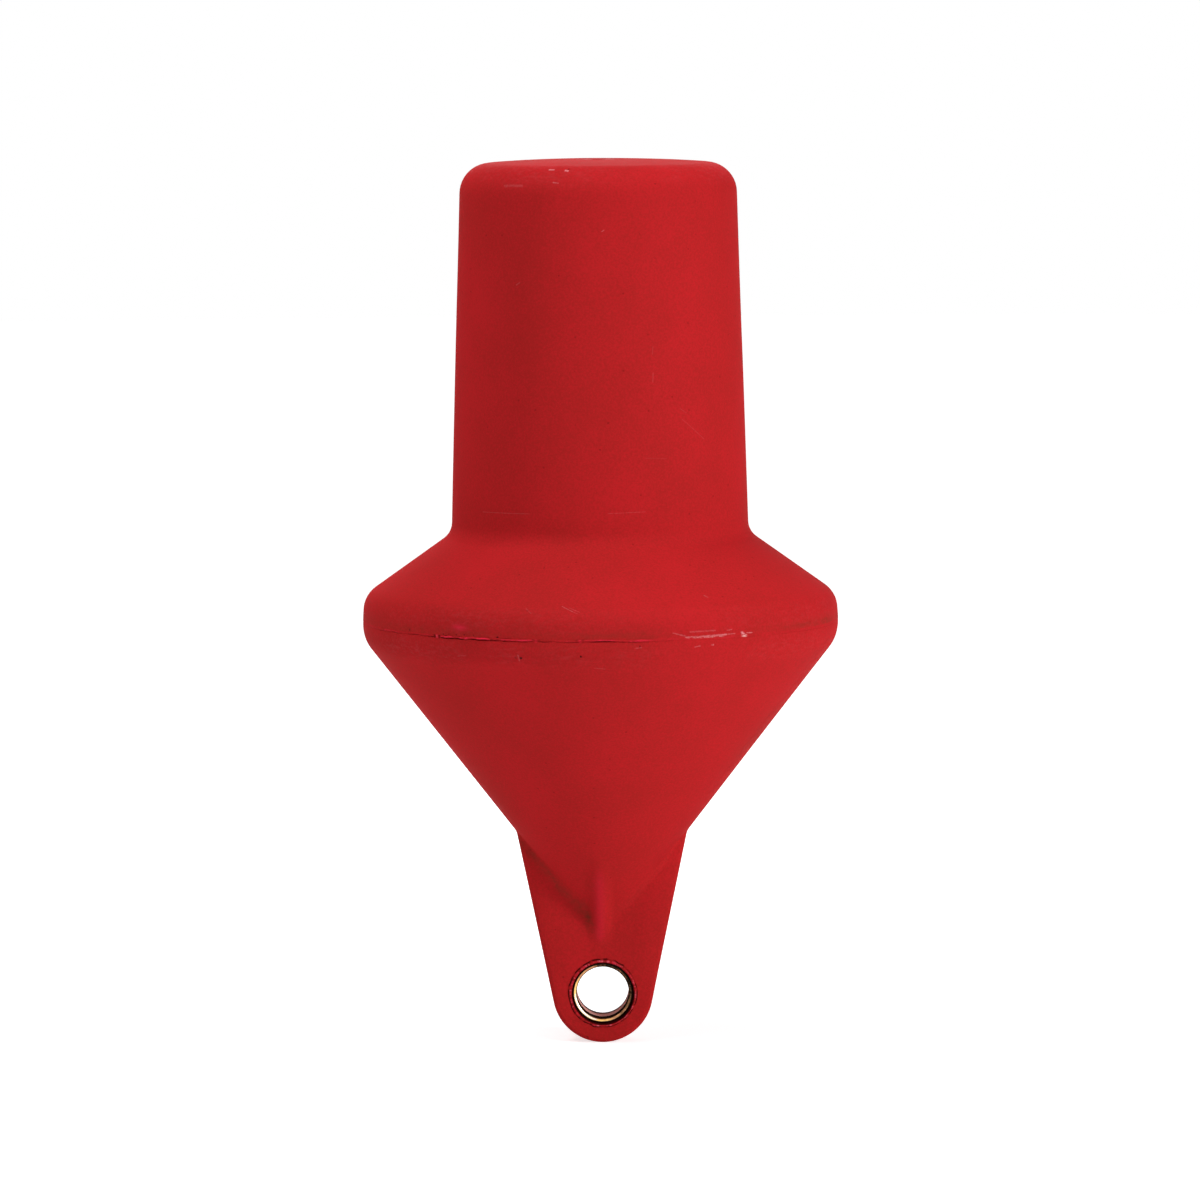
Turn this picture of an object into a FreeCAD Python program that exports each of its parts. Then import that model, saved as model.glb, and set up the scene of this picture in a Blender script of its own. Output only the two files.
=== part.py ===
import FreeCAD, Part
import math
import os
import Sketcher

# A can-shaped marker buoy, rotationally moulded in polyethylene and filled with foam.
# A shallow dome closes a slightly tapered can, which shows the buoy's colour above the water. Below
# its neck the can spreads through a shoulder cone into a belt, where the two halves of the mould part.
# Under the belt a long cone runs down into a flat mooring lug, which has a gusset on each face and a
# metal bush in its eye.
#
# Frame: millimetres, +Z up, +Y along the eye's axis, +X across the lug. The origin is the centre of the
# mould's parting plane, which is also the moored buoy's waterline.

# name, value in mm (or degrees, for an angle), what it is
DIMENSIONS = (
    ("belt_radius", 200.0, "radius of the belt, the widest part"),
    ("belt_rise", 20.5, "seam up to the corner between belt and shoulder"),
    ("belt_drop", 14.5, "seam down to the corner between belt and lower cone"),
    ("belt_upper_round", 23.0, "rounding of the corner between belt and shoulder"),
    ("belt_lower_round", 30.5, "rounding of the corner between belt and lower cone"),
    ("neck_radius", 125.0, "radius of the can where it meets the shoulder"),
    ("neck_rise", 73.5, "seam up to the neck"),
    ("neck_round", 17.5, "hollow rounding of the neck"),
    ("can_edge_radius", 116.0, "radius of the can at its top edge"),
    ("can_rise", 309.0, "neck up to the top edge"),
    ("can_edge_round", 26.0, "rounding of the top edge"),
    ("dome_rise", 4.5, "top edge up to the middle of the dome"),
    ("cone_drop", 258.5, "belt's lower corner down to the cone's theoretical point"),
    ("eye_drop", 42.5, "cone's theoretical point down to the eye's axis"),
    ("lug_end_radius", 42.5, "radius of the lug's round end"),
    ("lug_side_angle", 11.9, "lean of each side of the lug"),
    ("lug_thickness", 38.0, "thickness of the lug"),
    ("lug_root_sink", 15.0, "how far the lug runs on inside the cone"),
    ("lug_root_round", 12.0, "hollow rounding between cone and lug"),
    ("gusset_width", 13.0, "width of a gusset"),
    ("gusset_rise", 68.5, "cone's theoretical point up to the top of a gusset's crest"),
    ("gusset_sink", 2.0, "how far the gussets' ends are sunk in the cone and the lug"),
    ("gusset_round", 3.5, "rounding of the long edges of a gusset's crest"),
    ("collar_width", 4.2, "width of the collar round the eye"),
    ("collar_height", 1.2, "height of the collar above the lug's face"),
    ("collar_round", 0.8, "rounding of the collar's outer edge"),
    ("bush_radius", 25.0, "outer radius of the bush"),
    ("bush_wall", 3.0, "wall of the bush"),
    ("bush_mouth_round", 2.0, "rounding of the bush's mouths"),
    ("bush_gap", 0.3, "gap round the bush"),
    ("bead_depth", 1.5, "depth of the groove that the seam's bead fills"),
    ("bead_proud", 1.0, "how far the seam's bead stands out of the belt"),
    ("plug_radius", 20.0, "radius of the filling plug"),
    ("plug_length", 10.0, "length of the filling plug"),
    ("plug_gap", 0.2, "gap round the filling plug"),
    ("plug_inset", 0.5, "how far the plug's face lies below the top of the dome"),
    ("plug_edge_round", 1.0, "rounding of the edge of the plug's face"),
    ("key_radius", 7.0, "corner radius of the hexagonal key hole in the plug"),
    ("key_depth", 3.0, "depth of the key hole"),
)

NEAR = 0.02  # an edge this close to a point, in mm, is taken to pass through it


class Size:
    """A length or an angle: its value, and the formula on the sheet's cells that gives it."""

    def __init__(self, value, formula):
        self.value = float(value)
        self.formula = formula

    def __add__(self, other):
        return Size(self.value + other.value, f"({self.formula} + {other.formula})")

    def __sub__(self, other):
        return Size(self.value - other.value, f"({self.formula} - {other.formula})")

    def __mul__(self, other):
        return Size(self.value * other.value, f"({self.formula} * {other.formula})")

    def __truediv__(self, other):
        return Size(self.value / other.value, f"({self.formula} / {other.formula})")

    def __neg__(self):
        return Size(-self.value, f"(-{self.formula})")


def tangent(angle):
    return Size(math.tan(math.radians(angle.value)), f"tan({angle.formula})")


def cosine(angle):
    return Size(math.cos(math.radians(angle.value)), f"cos({angle.formula})")


# The document, its sheet, and a Size for each cell of the sheet
document = FreeCAD.newDocument("can_buoy")
sheet = document.addObject("Spreadsheet::Sheet", "Dimensions")
size = {}
for row, (name, value, meaning) in enumerate(DIMENSIONS, start=1):
    sheet.set(f"A{row}", name)
    sheet.set(f"B{row}", str(value))
    sheet.set(f"C{row}", meaning)
    sheet.setAlias(f"B{row}", name)
    size[name] = Size(value, f"Dimensions.{name}")
document.recompute()

ZERO = Size(0, "0")
HALF = Size(0.5, "0.5")

# Heights above the seam, and radii, that several features share
can_edge_height = size["neck_rise"] + size["can_rise"]
dome_height = can_edge_height + size["dome_rise"]
cone_point = -(size["belt_drop"] + size["cone_drop"])
cone_slope = size["belt_radius"] / size["cone_drop"]  # radius gained for each mm of height
eye_height = cone_point - size["eye_drop"]
half_lug = size["lug_thickness"] * HALF
half_bead = size["bead_depth"]
hole_radius = size["bush_radius"] + size["bush_gap"]
collar_radius = hole_radius + size["collar_width"]
plug_face = dome_height - size["plug_inset"]
plug_floor = plug_face - size["plug_length"]
plug_hole_radius = size["plug_radius"] + size["plug_gap"]


# ---- building blocks -------------------------------------------------------------------------------


def new_body(label):
    """A body for one sub-part; its label names the sub-part's file."""
    body = document.addObject("PartDesign::Body", label)
    body.Label = label
    body.Placement = FreeCAD.Placement()
    return body


def new_sketch(body, role, name, height=None):
    """A sketch on one of the body's own planes, raised along the plane's normal by a Size if given."""
    sketch = body.newObject("Sketcher::SketchObject", name)
    plane = next(p for p in body.Origin.OriginFeatures if p.Role == role)
    sketch.AttachmentSupport = [(plane, "")]
    sketch.MapMode = "FlatFace"
    if height is not None:
        sketch.setExpression("AttachmentOffset.Base.z", height.formula)
    return sketch


def point(across, up):
    return FreeCAD.Vector(across.value, up.value, 0)


def dimension(sketch, kind, *targets, by):
    """A constraint of the sketch whose datum follows a Size."""
    index = sketch.addConstraint(Sketcher.Constraint(kind, *targets, by.value))
    sketch.setExpression(f"Constraints[{index}]", by.formula)


def pin(sketch, line, end, across, up):
    """Holds an end of a line at a place given by two Sizes; the sketch's origin is (-1, 1)."""
    if across is ZERO:
        sketch.addConstraint(Sketcher.Constraint("PointOnObject", line, end, -2))
    else:
        dimension(sketch, "DistanceX", -1, 1, line, end, by=across)
    if up is ZERO:
        sketch.addConstraint(Sketcher.Constraint("PointOnObject", line, end, -1))
    else:
        dimension(sketch, "DistanceY", -1, 1, line, end, by=up)


def closed_outline(sketch, corners, dome_edge=None):
    """Straight edges from corner to corner and back to the first. The edge numbered dome_edge is an
    arc instead, about a centre on the vertical axis."""
    count = len(corners)
    for edge in range(count):
        start = point(*corners[edge])
        end = point(*corners[(edge + 1) % count])
        if edge == dome_edge:
            rise = end.y - start.y
            radius = (start.x**2 + rise**2) / (2 * rise)
            centre = FreeCAD.Vector(0, end.y - radius, 0)
            circle = Part.Circle(centre, FreeCAD.Vector(0, 0, 1), radius)
            angles = [math.atan2(p.y - centre.y, p.x - centre.x) for p in (start, end)]
            sketch.addGeometry(Part.ArcOfCircle(circle, *angles))
            sketch.addConstraint(Sketcher.Constraint("PointOnObject", edge, 3, -2))
        else:
            sketch.addGeometry(Part.LineSegment(start, end))
    for edge in range(count):
        sketch.addConstraint(Sketcher.Constraint("Coincident", edge, 2, (edge + 1) % count, 1))
    for edge, (across, up) in enumerate(corners):
        pin(sketch, edge, 1, across, up)


def revolved(body, kind, sketch):
    """Turns a sketch once round the sketch's vertical axis: a Revolution adds, a Groove cuts."""
    feature = body.newObject(f"PartDesign::{kind}", f"{kind}_{sketch.Name}")
    feature.Profile = sketch
    feature.ReferenceAxis = (sketch, ["V_Axis"])
    feature.Angle = 360
    document.recompute()
    return feature


def padded(body, sketch, length):
    """A pad of the given length, half of it to each side of the sketch."""
    feature = body.newObject("PartDesign::Pad", f"Pad_{sketch.Name}")
    feature.Profile = sketch
    feature.Midplane = True
    feature.setExpression("Length", length.formula)
    document.recompute()
    return feature


def edges_through(feature, places):
    """Names of the feature's edges that pass through any of the places."""
    spots = [Part.Vertex(*place) for place in places]
    names = []
    for number, edge in enumerate(feature.Shape.Edges, start=1):
        if any(edge.distToShape(spot)[0] < NEAR for spot in spots):
            names.append(f"Edge{number}")
    return names


def dressed(body, kind, places, amount):
    """A Fillet or Chamfer of the edges that pass through the places."""
    base = body.Tip
    names = edges_through(base, places)
    if len(names) < len(places):
        raise RuntimeError(f"{body.Label}: {len(names)} edges found at {len(places)} places")
    feature = body.newObject(f"PartDesign::{kind}", f"{kind}_{amount.formula.split('.')[-1]}")
    feature.Base = (base, names)
    feature.setExpression("Radius" if kind == "Fillet" else "Size", amount.formula)
    document.recompute()
    if feature.Shape.isNull():
        raise RuntimeError(f"{body.Label}: {feature.Name} did not build")
    return feature


# ---- sub-parts -------------------------------------------------------------------------------------


def build_upper_moulding():
    """Dome, can, neck, shoulder and the upper half of the belt, with a seat for the filling plug."""
    body = new_body("upper_moulding")
    profile = new_sketch(body, "XZ_Plane", "upper_profile")
    corners = [
        (ZERO, ZERO),
        (size["belt_radius"], ZERO),
        (size["belt_radius"], size["belt_rise"]),
        (size["neck_radius"], size["neck_rise"]),
        (size["can_edge_radius"], can_edge_height),
        (ZERO, dome_height),
    ]
    closed_outline(profile, corners, dome_edge=4)
    revolved(body, "Revolution", profile)
    rounded_corners = ((2, "belt_upper_round"), (3, "neck_round"), (4, "can_edge_round"))
    for corner, rounding in rounded_corners:
        across, up = corners[corner]
        dressed(body, "Fillet", [(across.value, 0, up.value)], size[rounding])
    dressed(body, "Chamfer", [(size["belt_radius"].value, 0, 0)], size["bead_depth"])

    seat = new_sketch(body, "XZ_Plane", "plug_seat")
    clear_of_dome = dome_height + size["plug_length"]
    closed_outline(seat, [
        (ZERO, plug_floor),
        (plug_hole_radius, plug_floor),
        (plug_hole_radius, clear_of_dome),
        (ZERO, clear_of_dome),
    ])
    revolved(body, "Groove", seat)
    return body


def draw_lug(sketch):
    """The lug's outline: a round end about the eye's axis, with two sides that leave it at a tangent
    and lean out until they are well inside the cone, closed by a level line."""
    lean = size["lug_side_angle"]
    across_eye = size["lug_end_radius"] / cosine(lean)
    # The lug's side leaves the cone's outline where both are equally far from the axis
    meeting = (
        cone_point * cone_slope + across_eye - eye_height * tangent(lean)
    ) / (cone_slope - tangent(lean))
    root = meeting + size["lug_root_sink"]
    half_root = across_eye + (root - eye_height) * tangent(lean)

    radius = size["lug_end_radius"].value
    slant = math.radians(lean.value)
    side_x = radius * math.cos(slant)
    side_z = eye_height.value - radius * math.sin(slant)
    left_foot = FreeCAD.Vector(-side_x, side_z, 0)
    right_foot = FreeCAD.Vector(side_x, side_z, 0)
    left_root = FreeCAD.Vector(-half_root.value, root.value, 0)
    right_root = FreeCAD.Vector(half_root.value, root.value, 0)
    circle = Part.Circle(FreeCAD.Vector(0, eye_height.value, 0), FreeCAD.Vector(0, 0, 1), radius)
    sketch.addGeometry(Part.ArcOfCircle(circle, math.pi + slant, 2 * math.pi - slant))
    sketch.addGeometry(Part.LineSegment(right_foot, right_root))
    sketch.addGeometry(Part.LineSegment(right_root, left_root))
    sketch.addGeometry(Part.LineSegment(left_root, left_foot))
    arc, right, level, left = range(4)
    sketch.addConstraint(Sketcher.Constraint("Tangent", arc, 2, right, 1))
    sketch.addConstraint(Sketcher.Constraint("Coincident", right, 2, level, 1))
    sketch.addConstraint(Sketcher.Constraint("Coincident", level, 2, left, 1))
    sketch.addConstraint(Sketcher.Constraint("Tangent", left, 2, arc, 1))
    sketch.addConstraint(Sketcher.Constraint("PointOnObject", arc, 3, -2))
    sketch.addConstraint(Sketcher.Constraint("Symmetric", level, 1, level, 2, -2))
    dimension(sketch, "DistanceY", -1, 1, arc, 3, by=eye_height)
    dimension(sketch, "Radius", arc, by=size["lug_end_radius"])
    dimension(sketch, "DistanceY", -1, 1, level, 1, by=root)
    dimension(sketch, "DistanceX", -1, 1, level, 1, by=half_root)


def draw_rings(sketch, *radii):
    """Circles about the eye's axis."""
    for ring, radius in enumerate(radii):
        centre = FreeCAD.Vector(0, eye_height.value, 0)
        sketch.addGeometry(Part.Circle(centre, FreeCAD.Vector(0, 0, 1), radius.value))
        sketch.addConstraint(Sketcher.Constraint("PointOnObject", ring, 3, -2))
        dimension(sketch, "DistanceY", -1, 1, ring, 3, by=eye_height)
        dimension(sketch, "Radius", ring, by=radius)


def build_lower_moulding():
    """The belt's lower half, the cone, the mooring lug with its gussets, and the collared eye."""
    body = new_body("lower_moulding")
    lug = new_sketch(body, "XZ_Plane", "lug_outline")
    draw_lug(lug)
    padded(body, lug, size["lug_thickness"])
    faces = (-half_lug.value, half_lug.value)

    profile = new_sketch(body, "XZ_Plane", "lower_profile")
    belt_corner = (size["belt_radius"], -size["belt_drop"])
    closed_outline(profile, [(ZERO, ZERO), (ZERO, cone_point), belt_corner, (size["belt_radius"], ZERO)])
    revolved(body, "Revolution", profile)
    dressed(body, "Fillet", [(belt_corner[0].value, 0, belt_corner[1].value)], size["belt_lower_round"])
    dressed(body, "Chamfer", [(size["belt_radius"].value, 0, 0)], size["bead_depth"])
    # The lug's faces cut the cone in two curves, each lowest where the cone is as thick as the lug
    root_low = cone_point + half_lug / cone_slope
    dressed(body, "Fillet", [(0, y, root_low.value) for y in faces], size["lug_root_round"])

    gusset = new_sketch(body, "YZ_Plane", "gusset_outline")
    crest_reach = size["gusset_rise"] * cone_slope - size["gusset_sink"]
    crest_height = cone_point + size["gusset_rise"]
    foot_reach = half_lug - size["gusset_sink"]
    closed_outline(gusset, [
        (-foot_reach, cone_point),
        (foot_reach, cone_point),
        (crest_reach, crest_height),
        (-crest_reach, crest_height),
    ])
    padded(body, gusset, size["gusset_width"])
    # A place on each long edge of the two crests, halfway between its head and its foot
    half_gusset = size["gusset_width"].value / 2
    halfway = (crest_reach.value + foot_reach.value) / 2
    halfway_height = (crest_height.value + cone_point.value) / 2
    sides = ((1, 1), (1, -1), (-1, 1), (-1, -1))
    crest_edges = [(x * half_gusset, y * halfway, halfway_height) for x, y in sides]
    dressed(body, "Fillet", crest_edges, size["gusset_round"])

    collar = new_sketch(body, "XZ_Plane", "collar_outline")
    draw_rings(collar, collar_radius)
    two_collars = size["collar_height"] + size["collar_height"]
    padded(body, collar, size["lug_thickness"] + two_collars)
    collar_edge = half_lug.value + size["collar_height"].value
    spots = [(0, y, eye_height.value - collar_radius.value) for y in (-collar_edge, collar_edge)]
    dressed(body, "Fillet", spots, size["collar_round"])

    hole = new_sketch(body, "XZ_Plane", "bush_hole")
    draw_rings(hole, hole_radius)
    pocket = body.newObject("PartDesign::Pocket", "Pocket_bush_hole")
    pocket.Profile = hole
    pocket.Type = "ThroughAll"
    pocket.Midplane = True
    document.recompute()
    return body


def build_seam_bead():
    """The trimmed flash round the belt: it fills the groove between the halves and stands proud."""
    body = new_body("seam_bead")
    section = new_sketch(body, "XZ_Plane", "bead_section")
    root = size["belt_radius"] - size["bead_depth"]
    crest = size["belt_radius"] + size["bead_proud"]
    half_crest = half_bead * HALF
    closed_outline(section, [
        (root, ZERO),
        (size["belt_radius"], -half_bead),
        (crest, -half_crest),
        (crest, half_crest),
        (size["belt_radius"], half_bead),
    ])
    revolved(body, "Revolution", section)
    return body


def build_mooring_bush():
    """The metal tube that lines the eye, as long as the lug is thick, with rounded mouths."""
    body = new_body("mooring_bush")
    section = new_sketch(body, "XZ_Plane", "bush_section")
    inner = size["bush_radius"] - size["bush_wall"]
    draw_rings(section, size["bush_radius"], inner)
    padded(body, section, size["lug_thickness"])
    mouth_height = eye_height.value - inner.value
    mouths = [(0, y, mouth_height) for y in (-half_lug.value, half_lug.value)]
    dressed(body, "Fillet", mouths, size["bush_mouth_round"])
    return body


def build_filling_plug():
    """The plug of the foam filling hole, with a hexagonal key hole in its face."""
    body = new_body("filling_plug")
    section = new_sketch(body, "XZ_Plane", "plug_section")
    closed_outline(section, [
        (ZERO, plug_floor),
        (size["plug_radius"], plug_floor),
        (size["plug_radius"], plug_face),
        (ZERO, plug_face),
    ])
    revolved(body, "Revolution", section)
    rim = (size["plug_radius"].value, 0, plug_face.value)
    dressed(body, "Fillet", [rim], size["plug_edge_round"])

    key = new_sketch(body, "XY_Plane", "key_outline", height=plug_face)
    corner_radius = size["key_radius"].value
    turns = [math.radians(60 * corner) for corner in range(6)]
    corners = [FreeCAD.Vector(math.cos(a), math.sin(a), 0) * corner_radius for a in turns]
    for side in range(6):
        key.addGeometry(Part.LineSegment(corners[side], corners[(side + 1) % 6]))
    circle = key.addGeometry(Part.Circle(FreeCAD.Vector(), FreeCAD.Vector(0, 0, 1), corner_radius), True)
    for side in range(6):
        key.addConstraint(Sketcher.Constraint("Coincident", side, 2, (side + 1) % 6, 1))
        key.addConstraint(Sketcher.Constraint("PointOnObject", side, 1, circle))
    for side in range(5):
        key.addConstraint(Sketcher.Constraint("Equal", side, side + 1))
    key.addConstraint(Sketcher.Constraint("Coincident", circle, 3, -1, 1))
    key.addConstraint(Sketcher.Constraint("PointOnObject", 0, 1, -1))
    dimension(key, "Radius", circle, by=size["key_radius"])
    pocket = body.newObject("PartDesign::Pocket", "Pocket_key")
    pocket.Profile = key
    pocket.setExpression("Length", size["key_depth"].formula)
    document.recompute()
    return body


# ---- build, check and write ------------------------------------------------------------------------

bodies = [
    build_upper_moulding(),
    build_lower_moulding(),
    build_seam_bead(),
    build_mooring_bush(),
    build_filling_plug(),
]
document.recompute()

for thing in document.Objects:
    if "Invalid" in thing.State or "Error" in thing.State:
        raise RuntimeError(f"{thing.Label} did not build: {thing.State}")
for body in bodies:
    if body.Shape.isNull() or not body.Shape.isValid() or len(body.Shape.Solids) != 1:
        raise RuntimeError(f"{body.Label} is not one sound solid")

os.makedirs("parts", exist_ok=True)
for body in bodies:
    body.Shape.exportStep(f"parts/{body.Label}.step")
    box = body.Shape.BoundBox
    print(
        f"{body.Label}: {body.Shape.Volume / 1e6:.4f} litres,"
        f" x {box.XMin:.2f} to {box.XMax:.2f},"
        f" y {box.YMin:.2f} to {box.YMax:.2f},"
        f" z {box.ZMin:.2f} to {box.ZMax:.2f}"
    )
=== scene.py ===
"""A can-shaped marker buoy in red moulded polyethylene: its finished surfaces, its lights and the camera.

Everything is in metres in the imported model's frame: +Z up, +Y along the mooring eye, the origin in the
middle of the belt's seam. A bearing runs round the buoy from its front, -Y, towards +X. Each part of the
buoy is a class that builds its meshes as whole arrays of points and dresses them.
"""
import logging
import math
from collections.abc import Sequence
from dataclasses import dataclass, replace
from enum import Enum
from functools import cache, reduce

import bmesh
import bpy
import numpy as np
from mathutils import Matrix, Vector


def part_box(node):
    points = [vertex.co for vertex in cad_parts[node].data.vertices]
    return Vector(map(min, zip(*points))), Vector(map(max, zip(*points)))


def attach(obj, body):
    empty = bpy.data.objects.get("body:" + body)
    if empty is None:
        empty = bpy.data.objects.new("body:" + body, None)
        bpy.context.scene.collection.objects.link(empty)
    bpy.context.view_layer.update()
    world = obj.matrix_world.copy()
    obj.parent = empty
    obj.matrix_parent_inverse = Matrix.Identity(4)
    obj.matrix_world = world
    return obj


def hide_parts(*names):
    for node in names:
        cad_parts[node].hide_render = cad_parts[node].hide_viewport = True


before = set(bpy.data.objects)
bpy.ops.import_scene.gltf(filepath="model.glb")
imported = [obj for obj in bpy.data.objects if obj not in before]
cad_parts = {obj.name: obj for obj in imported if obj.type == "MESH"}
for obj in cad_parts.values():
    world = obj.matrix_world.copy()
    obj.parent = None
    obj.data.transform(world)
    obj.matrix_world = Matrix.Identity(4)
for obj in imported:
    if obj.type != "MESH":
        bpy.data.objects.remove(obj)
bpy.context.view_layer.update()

Array = np.ndarray
Colour = tuple[float, float, float, float]
Triple = tuple[float, float, float]
Knots = tuple[tuple[float, float], ...]
Marks = dict[str, Array]
Node, Socket, Tree = bpy.types.Node, bpy.types.NodeSocket, bpy.types.NodeTree
Piece, Material = bpy.types.Object, bpy.types.Material
Value = float | Sequence[float] | Socket

MM = 0.001
TURN = 2 * math.pi

log = logging.getLogger("buoy")


class Slot(Enum):
    """The record's material slots."""

    HULL = "hull_plastic"
    FLASH = "flash_plastic"
    BUSH = "bush_metal"
    PLUG = "plug_plastic"


# ---- surfaces --------------------------------------------------------------------------------------


def rounded_profile(corners: Sequence[tuple[float, float]], roundings: Sequence[float], step: float) -> Array:
    """Points along a line through corners, with an arc tangent to both sides of each inner corner.

    An arc of radius q at a corner whose sides open by the angle w starts and ends q / tan(w / 2) from the
    corner, and its centre is q / sin(w / 2) from it.

    Args:
        corners: The line's corners, each a radius and a height.
        roundings: The arc's radius at each inner corner.
        step: About how far apart the points are.

    Returns:
        The points, one row of (radius, height) each.
    """
    line = np.array(corners, float)
    pieces = []
    start = line[0]
    for before, corner, after, rounding in zip(line, line[1:], line[2:], roundings):
        back = (before - corner) / np.linalg.norm(before - corner)
        ahead = (after - corner) / np.linalg.norm(after - corner)
        opening = math.acos(float(np.clip(back @ ahead, -1, 1)))
        reach = rounding / math.tan(opening / 2)
        inward = (back + ahead) / np.linalg.norm(back + ahead)
        centre = corner + inward * rounding / math.sin(opening / 2)
        first, last = corner + back * reach, corner + ahead * reach
        sweep = math.pi - opening
        share = np.linspace(0, 1, max(4, math.ceil(rounding * sweep / step)) + 1)[:, None]
        arc = np.sin((1 - share) * sweep) * (first - centre) + np.sin(share * sweep) * (last - centre)
        pieces += [stretch(start, first, step)[:-1], centre + arc[:-1] / math.sin(sweep)]
        start = last
    return np.vstack([*pieces, stretch(start, line[-1], step)])


def stretch(start: Array, end: Array, step: float) -> Array:
    """Evenly spaced points from start to end, both included, about a step apart."""
    count = max(1, math.ceil(float(np.linalg.norm(end - start)) / step))
    return start + np.linspace(0, 1, count + 1)[:, None] * (end - start)


def bearings(columns: int) -> Array:
    """The bearings of evenly spaced columns, one full turn, in radians."""
    return np.arange(columns) / columns * TURN


def bearing_of(points: Array) -> Array:
    """The bearing of points, from 0 to a full turn."""
    return np.arctan2(points[..., 0], -points[..., 1]) % TURN


def degrees_from(middle: Array | float, bearing: Array) -> Array:
    """How far bearings in radians lie from a middle one in degrees: ((b - m + 180) mod 360) - 180."""
    return (np.degrees(bearing) - middle + 180) % 360 - 180


def placed(radius: Array, bearing: Array, height: Array) -> Array:
    """Points at x = r sin b, y = -r cos b, z = h, with (x, y, z) on the last axis."""
    radius, bearing, height = np.broadcast_arrays(radius, bearing, height)
    return np.stack([radius * np.sin(bearing), -radius * np.cos(bearing), height], axis=-1)


def ring_quads(rows: int, columns: int, closed: bool = False) -> Array:
    """Quads between the rings of a grid.

    Args:
        rows: How many rings there are.
        columns: How many points each ring has.
        closed: Whether the last ring also joins the first.

    Returns:
        The four corners of each quad, as indices into the grid's points taken ring by ring.
    """
    row, column = np.meshgrid(np.arange(rows if closed else rows - 1), np.arange(columns), indexing="ij")
    below, beside = (row + 1) % rows, (column + 1) % columns
    corners = (row, column), (row, beside), (below, beside), (below, column)
    return np.stack([ring * columns + place for ring, place in corners], axis=-1).reshape(-1, 4)


def smooth(value: Array, low: float, high: float) -> Array:
    """0 below low, 1 above high, and 3 t^2 - 2 t^3 between, where t is the share of the way."""
    share = np.clip((value - low) / (high - low), 0, 1)
    return share * share * (3 - 2 * share)


def bell(value: Array, width: Array | float, power: int = 2) -> Array:
    """exp(-(v / w)^n): 1 where the value is nought, and nothing a few widths away."""
    return np.exp(-((value / width) ** power))


def between(knots: Knots, place: Array) -> Array:
    """The value at each place on the straight lines through knots, each of them a place and a value."""
    return np.interp(place, *np.array(knots).T)


def within(first: Array, second: Array, rounding: Array | float, facing: Array | float = 0) -> Array:
    """Distance to what two shapes share, with their common edge rounded to an arc.

    With u and v the two distances plus the rounding q, and c the cosine of the angle between the faces'
    outward directions, it is ((u^2 + v^2 - 2 c u v) / (1 - c^2))^0.5 - q where u > c v and v > c u, and
    the larger of the two distances elsewhere.

    Args:
        first: Distance to the first shape, negative inside.
        second: Distance to the second shape.
        rounding: The arc's radius q.
        facing: The cosine c.

    Returns:
        The distance, negative inside both.
    """
    one, two = first + rounding, second + rounding
    square = (one * one + two * two - 2 * facing * one * two) / (1 - facing * facing)
    on_arc = (one > facing * two) & (two > facing * one)
    return np.where(on_arc, np.sqrt(np.maximum(square, 0)) - rounding, np.maximum(first, second))


def joined(first: Array, second: Array, rounding: Array | float, facing: Array | float = 0) -> Array:
    """Distance to two shapes together, with the hollow where they meet rounded in the same way."""
    return -within(-first, -second, rounding, facing)


@dataclass(frozen=True)
class Ripple:
    """Slow unevenness of a moulded wall, as a sum of waves round the buoy and up it.

    Each wave is cos(k b + p) cos(2 pi h / l + q) / (1 + k) at bearing b and height h, with a whole number
    k up to around, a length l of one to three wavelengths, and phases p and q, all drawn from the seed.
    """

    depth: float
    around: int
    wavelength: float
    seed: int
    waves: int = 24

    def hollow(self, bearing: Array, height: Array) -> Array:
        """How far the surface is sunk: d (0.5 + 0.5 tanh(3 s / n^0.5)), with s the sum of the n waves.

        Args:
            bearing: The bearings.
            height: The heights.

        Returns:
            How far at each place, from 0 to the ripple's depth d.
        """
        draw = np.random.default_rng(self.seed)
        total = np.zeros(np.broadcast(bearing, height).shape)
        for _ in range(self.waves):
            count = int(draw.integers(0, self.around + 1))
            length = self.wavelength * draw.uniform(1, 3)
            phase, shift = draw.uniform(0, TURN, 2)
            total += np.cos(count * bearing + phase) * np.cos(TURN * height / length + shift) / (1 + count)
        return self.depth * (0.5 + 0.5 * np.tanh(total * 2 / math.sqrt(self.waves) * 1.5))


@dataclass(frozen=True)
class RingNoise:
    """Rough variation with the bearing: value noise that is smooth between whole steps round the buoy."""

    steps: int
    seed: int

    def at(self, bearing: Array) -> Array:
        """The noise at each bearing: a (1 - s) + b s between two steps, with s the smoothed share of the way.

        Args:
            bearing: The bearings, from 0 to a full turn.

        Returns:
            The noise, from 0 to 1.
        """
        knots = np.random.default_rng(self.seed).uniform(0, 1, self.steps)
        place = bearing / TURN * self.steps
        whole = np.floor(place).astype(int)
        share = smooth(place - whole, 0, 1)
        return knots[whole % self.steps] * (1 - share) + knots[(whole + 1) % self.steps] * share


def mixed(bearing: Array, coarse: RingNoise, fine: RingNoise, share: float = 0.5) -> Array:
    """Two noises added, with a share of the coarse one and the rest of the fine one."""
    return coarse.at(bearing) * share + fine.at(bearing) * (1 - share)


def added(name: str, data: bpy.types.ID) -> Piece:
    """A new object of the scene that holds the data.

    Args:
        name: The object's name.
        data: Its mesh, lamp or camera.

    Returns:
        The object.
    """
    piece = bpy.data.objects.new(name, data)
    bpy.context.scene.collection.objects.link(piece)
    return piece


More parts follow.
